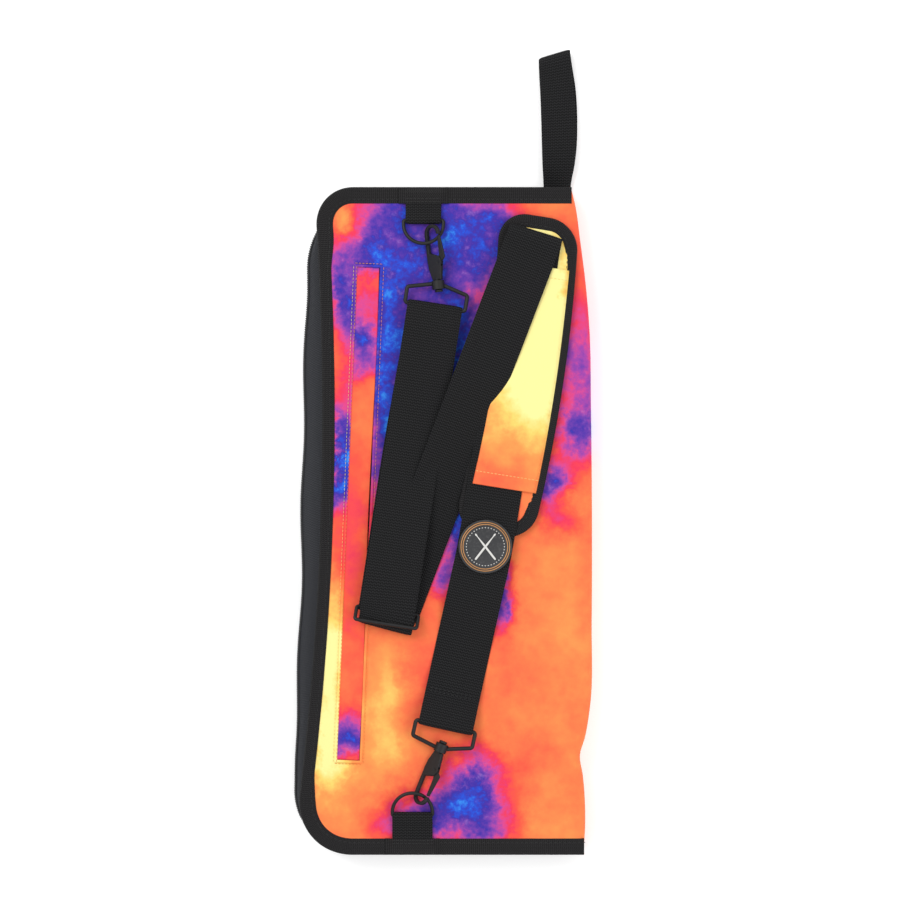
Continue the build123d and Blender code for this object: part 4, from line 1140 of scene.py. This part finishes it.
class STICKBAG_OT_ring_tabs(Operator):
    """Builds the webbing tabs that hold the rings at both ends"""

    bl_idname = "stickbag.ring_tabs"
    bl_label = "Ring tabs"

    def execute(self, context):
        for name, x, bar_y, up, half in (
            ("top", -16.6, 207.35, 1, 12.3), ("bottom", -24.2, -203.05, -1, 13.9),
        ):
            bar_z = TOP_Z + 2.7
            seam = abs(HALF_HEIGHT - 5.0 - abs(bar_y))
            stations = (
                (seam, 1.1 + TOP_Z), (8.0, 1.2 + TOP_Z), (2.0, bar_z - 1.95), (0.0, bar_z - 2.05),
                (-1.5, bar_z - 1.4), (-2.1, bar_z), (-1.5, bar_z + 1.4), (0.2, bar_z + 2.05),
                (3.0, bar_z + 1.5), (7.5, TOP_Z + 2.5), (11.0, TOP_Z + 2.1), (seam, TOP_Z + 1.9),
            )
            edges = []
            for distance, z in stations:
                y = bar_y + up * distance
                edges.append((x - half * up, y, z, x + half * up, y, z))
            tab = ribbon_piece(name + "_tab_webbing", edges, 1.15, spacing=0.7)
            dress(tab, "webbing", "front", (name + "_ring_tab",))
            z = TOP_Z + 2.75
            sewn = [up * (HALF_HEIGHT - inset) for inset in (8.2, 10.4)]
            lines = [((x - half, y, z), (x + half, y, z)) for y in sewn]
            sew(name + "_tab_stitches", lines, "black thread", "front", pitch=2.6)
            self.cover(name, x, up, half)
        return {"FINISHED"}

    def cover(self, name, x, up, half):
        """Patch of binding over the tab's sewn end, raised 2 mm by the webbing under it."""
        across = np.linspace(-half - 5.0, half + 5.0, 60)[None]
        inset = np.linspace(0.8, 11.6, 16)[:, None]
        lift = smooth((half + 4.0 - np.abs(across)) / 5.0)
        z = TOP_Z + 0.5 + 2.0 * lift * smooth((inset - 0.4) / 4.0) * smooth((12.6 - inset) / 1.5)
        y = up * (HALF_HEIGHT - inset)
        points = stacked(x + across, y, z)[:, ::-up]
        run = stacked(inset, across)[:, ::-up]
        piece = sheet_piece(name + "_tab_binding", points, 0.5, run, offset=0.0)
        dress(piece, "binding", "front")


# ---- shoulder pad ----------------------------------------------------------
PAD_HALF, PAD_LENGTH, PAD_CORNER = 27.5, 222.0, 20.0
PAD_SEWN_IN = 6.6  # how far the binding's stitches lie inside the pad's rim
SLEEVE_HALF = 23.3
SLEEVE_LOW, SLEEVE_HIGH = 33.0, 188.0


def pad_place(across, along, z):
    """Place of a point given across and up the pad, which bows 1.6 - 4.6 ((s - 100) / 100)^2."""
    a = radians(PAD_LEAN)
    across = across + 1.6 - 4.6 * ((np.asarray(along) - 100.0) / 100.0) ** 2
    x = PAD_FOOT[0] + across * cos(a) + along * sin(a)
    y = PAD_FOOT[1] - across * sin(a) + along * cos(a)
    return stacked(x, y, z)


def pad_outline(inset, count=240):
    """Rounded rectangle 55 by 222: straight sides and quarter circles, even along the rim."""
    half_w, length, r = PAD_HALF - inset, PAD_LENGTH, PAD_CORNER - inset
    turn = np.linspace(0, np.pi / 2, 24)
    parts = []
    for sign_x, sign_y, flip in ((1, 1, 0), (-1, 1, 1), (-1, -1, 0), (1, -1, 1)):
        a = turn[::-1] if flip else turn
        x = sign_x * (half_w - r + r * np.cos(a))
        y = length / 2 + sign_y * (length / 2 - inset - r + r * np.sin(a))
        parts.append(np.stack([x, y, 0 * x], -1))
    loop = np.concatenate([*parts, parts[0][:1]])
    return resampled(loop, count + 1)[:-1]


class STICKBAG_OT_pad(Operator):
    """Builds the shoulder pad, its bound edge and the printed sleeve"""

    bl_idname = "stickbag.pad"
    bl_label = "Shoulder pad"

    def execute(self, context):
        core = self.core()
        self.swell(core)
        dress(core, "sleeve print", "pad", ("pad_core", "pad_base"))
        self.bound_edge()
        self.sleeve()
        return {"FINISHED"}

    def core(self):
        """Flat oval slab: rings of the outline shrunk towards the middle line, whose height rises
        on a quarter circle over the outer quarter of the way in."""
        low, high = TOP_Z + 0.7, TOP_Z + 4.4
        levels = np.linspace(0, 1, 12)
        shrink, draw_in = 0.96, 26  # share of the width, and mm of each end, lost on the way in
        middle_y = PAD_LENGTH / 2
        x, y = pad_outline(2.2)[:, :2].T
        from_middle = y - middle_y
        rings = []
        for side, order in ((1, levels[::-1]), (-1, levels[1:])):
            for level in order:
                shrunk = np.maximum(np.abs(from_middle) - draw_in * level, 0)
                rise = (high - low) / 2 * (1 - (1 - min(level * 4, 1)) ** 2) ** 0.5
                across = x * (1 - shrink * level)
                along = np.sign(from_middle) * shrunk + middle_y
                rings.append(pad_place(across, along, (low + high) / 2 + side * rise))
        return tube_piece("pad_cushion", np.array(rings), sharp=180)

    def swell(self, core):
        """Cloth blown up by a little pressure, held to 0.7 mm of movement."""
        steps, furthest = 12, 0.0007
        scene = bpy.context.scene
        bpy.context.view_layer.objects.active = core
        remesh = core.modifiers.new("even", "REMESH")
        remesh.mode = "VOXEL"
        remesh.voxel_size = 0.0022
        bpy.ops.object.modifier_apply(modifier="even")
        start = np.empty(len(core.data.vertices) * 3)
        core.data.vertices.foreach_get("co", start)
        cloth = core.modifiers.new("cloth", "CLOTH")
        cloth.settings.use_pressure = True
        cloth.settings.uniform_pressure_force = 4.0
        cloth.settings.effector_weights.gravity = 0.0
        cloth.point_cache.frame_start, cloth.point_cache.frame_end = 1, steps
        for step in range(1, steps + 1):
            scene.frame_set(step)
        shape = core.evaluated_get(bpy.context.evaluated_depsgraph_get()).to_mesh()
        moved = np.empty(len(shape.vertices) * 3)
        shape.vertices.foreach_get("co", moved)
        core.modifiers.remove(cloth)
        scene.frame_set(1)
        shift = (moved - start).reshape(-1, 3)
        far = np.maximum(np.linalg.norm(shift, axis=1), 1e-9)[:, None]
        shift *= np.minimum(far, furthest) / far
        core.data.vertices.foreach_set("co", start + shift.ravel())
        core.data.shade_smooth()
        core.data.update()

    def bound_edge(self):
        """Binding round the pad: a U of 9 mm over the rim, dipping where it is sewn."""
        outline = pad_outline(0.0, 420)
        inward = turned_left(np.roll(outline, -1, 0) - np.roll(outline, 1, 0))
        low, high = TOP_Z + 0.65, TOP_Z + 5.0
        fold_in, width = 1.0, 9.0
        turn = np.linspace(-np.pi / 2, np.pi / 2, 9)
        half = (high - low) / 2
        share = np.linspace(0, 1, 10)[1:]
        step_top = fold_in + (width - fold_in) * share
        dip = 0.3 * np.exp(-(((step_top - PAD_SEWN_IN) / 0.8) ** 2))
        z_top = half - dip - 0.3 * share**6
        fold = 1.2 * (1 - np.cos(turn)) - 0.1
        step = np.concatenate([fold, step_top, step_top[-1:], step_top[::-1]])
        z = np.concatenate([half * np.sin(turn), z_top, [-half + 0.8], -z_top[::-1]])
        rings = outline[:, None] + inward[:, None] * step[None, :, None]
        world = pad_place(rings[..., 0], rings[..., 1], (low + high) / 2 + z[None])
        world = np.concatenate([world, world[:1]])
        run = stacked(step[None], lengths(world[:, 0])[:, None])
        piece = tube_piece("pad_bound_edge", world, run, capped=False, sharp=75)
        dress(piece, "binding", "pad", ("pad_binding",))
        sewn = outline + inward * PAD_SEWN_IN
        line = pad_place(sewn[:, 0], sewn[:, 1], high - 0.22)
        stitches = spaced(np.concatenate([line, line[:1]]), BINDING_PITCH)
        rows = stitch_piece("pad_stitches", *stitches)
        dress(rows, "black thread", "pad")

    def sleeve(self):
        """Printed sleeve over the strap: low at its sides, 2.25 mm higher in the middle, with a
        hem of 0.28 mm at both ends and shallow pulls across."""
        across = np.linspace(-SLEEVE_HALF, SLEEVE_HALF, 60)[None]
        along = np.linspace(SLEEVE_LOW, SLEEVE_HIGH, 150)[:, None]
        wall = smooth((SLEEVE_HALF - np.abs(across)) / 3.2)
        pulls = 0.3 * np.sin(along / 13 + across / 9) * np.sin(along / 37) * wall
        hem = 0.28 * (smooth((48.5 - along) / 1.2) + smooth((along - 177.5) / 1.2))
        z = TOP_Z + 4.75 + 2.25 * wall + pulls * 0.6 + hem * wall
        share_up = (along - SLEEVE_LOW) / (SLEEVE_HIGH - SLEEVE_LOW)
        bow = 1.4 * np.sin(share_up * np.pi) * (across / SLEEVE_HALF)
        piece = sheet_piece("pad_sleeve_cloth", pad_place(across - bow * 0.3, along, z), 0.7)
        dress(piece, "sleeve print", "pad", ("pad_sleeve",))
        z = TOP_Z + 7.36
        lines = [(pad_place(-21.5, up, z), pad_place(21.5, up, z)) for up in (42.0, 181.0)]
        thin = {"pitch": 2.6, "length": 2.0, "radius": 0.22}
        sew("sleeve_stitches", lines, "cream thread", "pad", **thin)


# ---- badge and hardware ----------------------------------------------------
def turned_rings(profile, centre, count=96):
    """Surface of revolution about an upright axis: profile is (radius, height) points."""
    turn = round_angles(count)[:, None]
    r, z = np.asarray(profile, float).T
    x = centre[0] + np.cos(turn) * r[None]
    y = centre[1] + np.sin(turn) * r[None]
    rings = stacked(x, y, centre[2] + z[None])
    return np.concatenate([rings, rings[:1]])


class STICKBAG_OT_badge(Operator):
    """Builds the round badge with its rings and crossed sticks"""

    bl_idname = "stickbag.badge"
    bl_label = "Badge"

    def execute(self, context):
        low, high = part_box("badge_base")
        centre = ((low.x + high.x) / 2 / MM, (low.y + high.y) / 2 / MM, low.z / MM + 0.1)
        profile = (
            (0.02, 0.0), (18.2, 0.0), (18.5, 0.4), (18.5, 1.7), (18.2, 2.1), (17.7, 2.25),
            (17.3, 2.1), (17.1, 1.75), (14.9, 1.75), (14.6, 1.6), (0.02, 1.6),
        )
        disc = tube_piece("badge_disc", turned_rings(profile, centre), capped=False)
        dress(disc, "rubber", "front", ("badge_base",))
        turn = round_angles(12)
        for number, radius, nodes in ((1, 15.35, ("badge_ring",)), (2, 16.75, ())):
            profile = stacked(radius + 0.34 * np.cos(turn), 1.9 + 0.28 * np.sin(turn))
            ring = tube_piece(f"badge_line_{number}", turned_rings(profile, centre), capped=False)
            dress(ring, "copper", "front", nodes)
        for number, lean, height in ((1, 38.0, 1.9), (2, -38.0, 1.9 + 0.45)):
            stick = self.stick(f"badge_stick_{number}", centre, lean, height)
            dress(stick, "ivory", "front")
        dress(self.dots(centre), "ivory", "front")
        return {"FINISHED"}

    def stick(self, name, centre, lean, height):
        """Little drum stick: radius along its length tapers to a neck and an acorn tip."""
        s = np.linspace(0, 1, 44)
        shaft = 0.72 * np.minimum(1, (s / 0.03) ** 0.5) * (1 - 0.55 * smooth((s - 0.55) / 0.33))
        tip = 0.34 * np.exp(-(((s - 0.95) / 0.035) ** 2))
        radius = (shaft + tip - 0.3 * smooth((s - 0.975) / 0.025))[:, None]
        turn = round_angles(12)[None]
        a = radians(lean)
        along = ((s - 0.5) * 23.0)[:, None]
        across = radius * np.cos(turn)
        x = centre[0] + along * sin(a) + across * cos(a)
        y = centre[1] + along * cos(a) - across * sin(a)
        z = centre[2] + height + 0.5 * radius * np.sin(turn)
        return tube_piece(name, stacked(x, y, z), sharp=180)

    def dots(self, centre):
        """Ring of raised dots between the sticks and the copper lines."""
        radius, angle = 13.1, round_angles(40)
        x = centre[0] + radius * np.cos(angle)
        y = centre[1] + radius * np.sin(angle)
        along = stacked(-np.sin(angle), np.cos(angle), 0)
        points = stacked(x, y, centre[2] + 1.7)
        return stitch_piece("badge_dots", points, along, length=1.0, radius=0.34)


class STICKBAG_OT_hardware(Operator):
    """Finishes the rings, loops, slides and slider, and rounds the cast hooks"""

    bl_idname = "stickbag.hardware"
    bl_label = "Metal fittings"

    def execute(self, context):
        for end in ("top", "bottom"):
            for node in (end + "_strap_loop", end + "_d_ring", end + "_gate_rivet"):
                self.paint(node, "metal")
            self.paint(end + "_gate_spring", "steel")
            self.cast(end + "_hook")
            self.cast(end + "_gate")
        for node in ("strap_adjuster", "zip_slider", "zip_pull"):
            self.paint(node, "metal")
        return {"FINISHED"}

    def paint(self, node, material):
        """Puts a finish in every material slot of a CAD node."""
        shown = NODES[node]
        if not shown.material_slots:
            shown.data.materials.append(finish(material))
        for place in shown.material_slots:
            place.material = finish(material)

    def cast(self, node):
        """Copy of a hook's or gate's node, merged, rebuilt in fine cells and smoothed to a cast
        form. It rides on the body of the same name."""
        name = node + "_casting"
        piece = bpy.data.objects.new(name, NODES[node].data.copy())
        bpy.context.scene.collection.objects.link(piece)
        piece.data.name = name
        bpy.context.view_layer.objects.active = piece
        weld = piece.modifiers.new("weld", "WELD")
        weld.merge_threshold = 0.00002
        cells = piece.modifiers.new("cells", "REMESH")
        cells.mode = "VOXEL"
        cells.voxel_size = 0.00026
        soften = piece.modifiers.new("soften", "SMOOTH")
        soften.factor = 0.6
        soften.iterations = 7
        for step in ("weld", "cells", "soften"):
            bpy.ops.object.modifier_apply(modifier=step)
        piece.data.shade_smooth()
        dress(piece, "metal", node, (node,))


# ---- studio ----------------------------------------------------------------
class STICKBAG_OT_studio(Operator):
    """Sets the pale floor, the soft lights and the camera above the bag"""

    bl_idname = "stickbag.studio"
    bl_label = "Studio"

    def execute(self, context):
        scene = context.scene
        reach, level = 3.0, -0.0005
        mesh = bpy.data.meshes.new("floor")
        corners = [(-reach, -reach), (reach, -reach), (reach, reach), (-reach, reach)]
        mesh.from_pydata([(x, y, level) for x, y in corners], [], [(0, 1, 2, 3)])
        floor = bpy.data.objects.new("floor", mesh)
        scene.collection.objects.link(floor)
        mesh.materials.append(finish("paper"))
        world = bpy.data.worlds.new("soft room")
        world.use_nodes = True
        sky = world.node_tree.nodes["Background"].inputs
        sky["Color"].default_value = (1, 1, 1, 1)
        sky["Strength"].default_value = 0.72
        scene.world = world
        for name, place, power, width in (
            ("key light", (-0.9, 0.9, 1.5), 16.0, 1.0), ("fill light", (1.1, -0.4, 1.3), 8.0, 1.2)):
            lamp = bpy.data.lights.new(name, "AREA")
            lamp.energy = power
            lamp.size = width
            light = bpy.data.objects.new(name, lamp)
            light.location = place
            aim = -light.location.normalized()
            light.rotation_mode = "QUATERNION"
            light.rotation_quaternion = aim.to_track_quat("-Z", "Y")
            scene.collection.objects.link(light)
        sizes = scene.stick_bag_sizes
        camera = bpy.data.cameras.new("camera")
        view = bpy.data.objects.new("camera", camera)
        scene.collection.objects.link(view)
        view.location = (0.0017, 0.049, TOP_Z * MM + sizes.camera_height)
        camera.lens = camera.sensor_width * sizes.camera_height / sizes.view_width
        camera.clip_end = 20
        scene.camera = view
        scene.view_settings.view_transform = "Standard"
        return {"FINISHED"}


# ---- panel and registration ------------------------------------------------
class StickBagSizes(PropertyGroup):
    camera_height: FloatProperty(
        name="Camera height", description="Camera above the bag's face", default=2.2,
        min=0.5, unit="LENGTH")
    view_width: FloatProperty(
        name="View width", description="Width seen at the bag's face", default=0.621,
        min=0.1, unit="LENGTH")


class StickBagColours(PropertyGroup):
    webbing: FloatVectorProperty(
        name="Webbing", description="Nylon webbing of the strap and tabs", subtype="COLOR",
        default=(0.009, 0.009, 0.0096), min=0, max=1)
    binding: FloatVectorProperty(
        name="Binding", description="Tape that binds the edges", subtype="COLOR",
        default=(0.0125, 0.012, 0.0125), min=0, max=1)
    zip_tape: FloatVectorProperty(
        name="Zip tape", description="Tape of the zip", subtype="COLOR",
        default=(0.021, 0.022, 0.0255), min=0, max=1)
    metal: FloatVectorProperty(
        name="Metal", description="Black paint on the metal fittings", subtype="COLOR",
        default=(0.02, 0.02, 0.021), min=0, max=1)


BUILDERS = (
    STICKBAG_OT_halves, STICKBAG_OT_spine, STICKBAG_OT_zip, STICKBAG_OT_pocket,
    STICKBAG_OT_stick_pocket, STICKBAG_OT_strap, STICKBAG_OT_hang_loop, STICKBAG_OT_ring_tabs,
    STICKBAG_OT_pad, STICKBAG_OT_badge, STICKBAG_OT_hardware, STICKBAG_OT_studio,
)


class STICKBAG_PT_panel(Panel):
    bl_label = "Stick Bag"
    bl_space_type = "VIEW_3D"
    bl_region_type = "UI"
    bl_category = "Stick Bag"

    def draw(self, context):
        for group in (context.scene.stick_bag_sizes, context.scene.stick_bag_colours):
            for name in group.__annotations__:
                self.layout.prop(group, name)
        for builder in BUILDERS:
            self.layout.operator(builder.bl_idname)


CLASSES = (StickBagSizes, StickBagColours, *BUILDERS, STICKBAG_PT_panel)


def register():
    for item in CLASSES:
        bpy.utils.register_class(item)
    bpy.types.Scene.stick_bag_sizes = PointerProperty(type=StickBagSizes)
    bpy.types.Scene.stick_bag_colours = PointerProperty(type=StickBagColours)


def unregister():
    del bpy.types.Scene.stick_bag_colours
    del bpy.types.Scene.stick_bag_sizes
    for item in reversed(CLASSES):
        bpy.utils.unregister_class(item)


def main():
    register()
    bpy.ops.stickbag.halves()
    bpy.ops.stickbag.spine()
    bpy.ops.stickbag.zip()
    bpy.ops.stickbag.pocket()
    bpy.ops.stickbag.stick_pocket()
    bpy.ops.stickbag.strap()
    bpy.ops.stickbag.hang_loop()
    bpy.ops.stickbag.ring_tabs()
    bpy.ops.stickbag.pad()
    bpy.ops.stickbag.badge()
    bpy.ops.stickbag.hardware()
    bpy.ops.stickbag.studio()


if __name__ == "__main__":
    main()
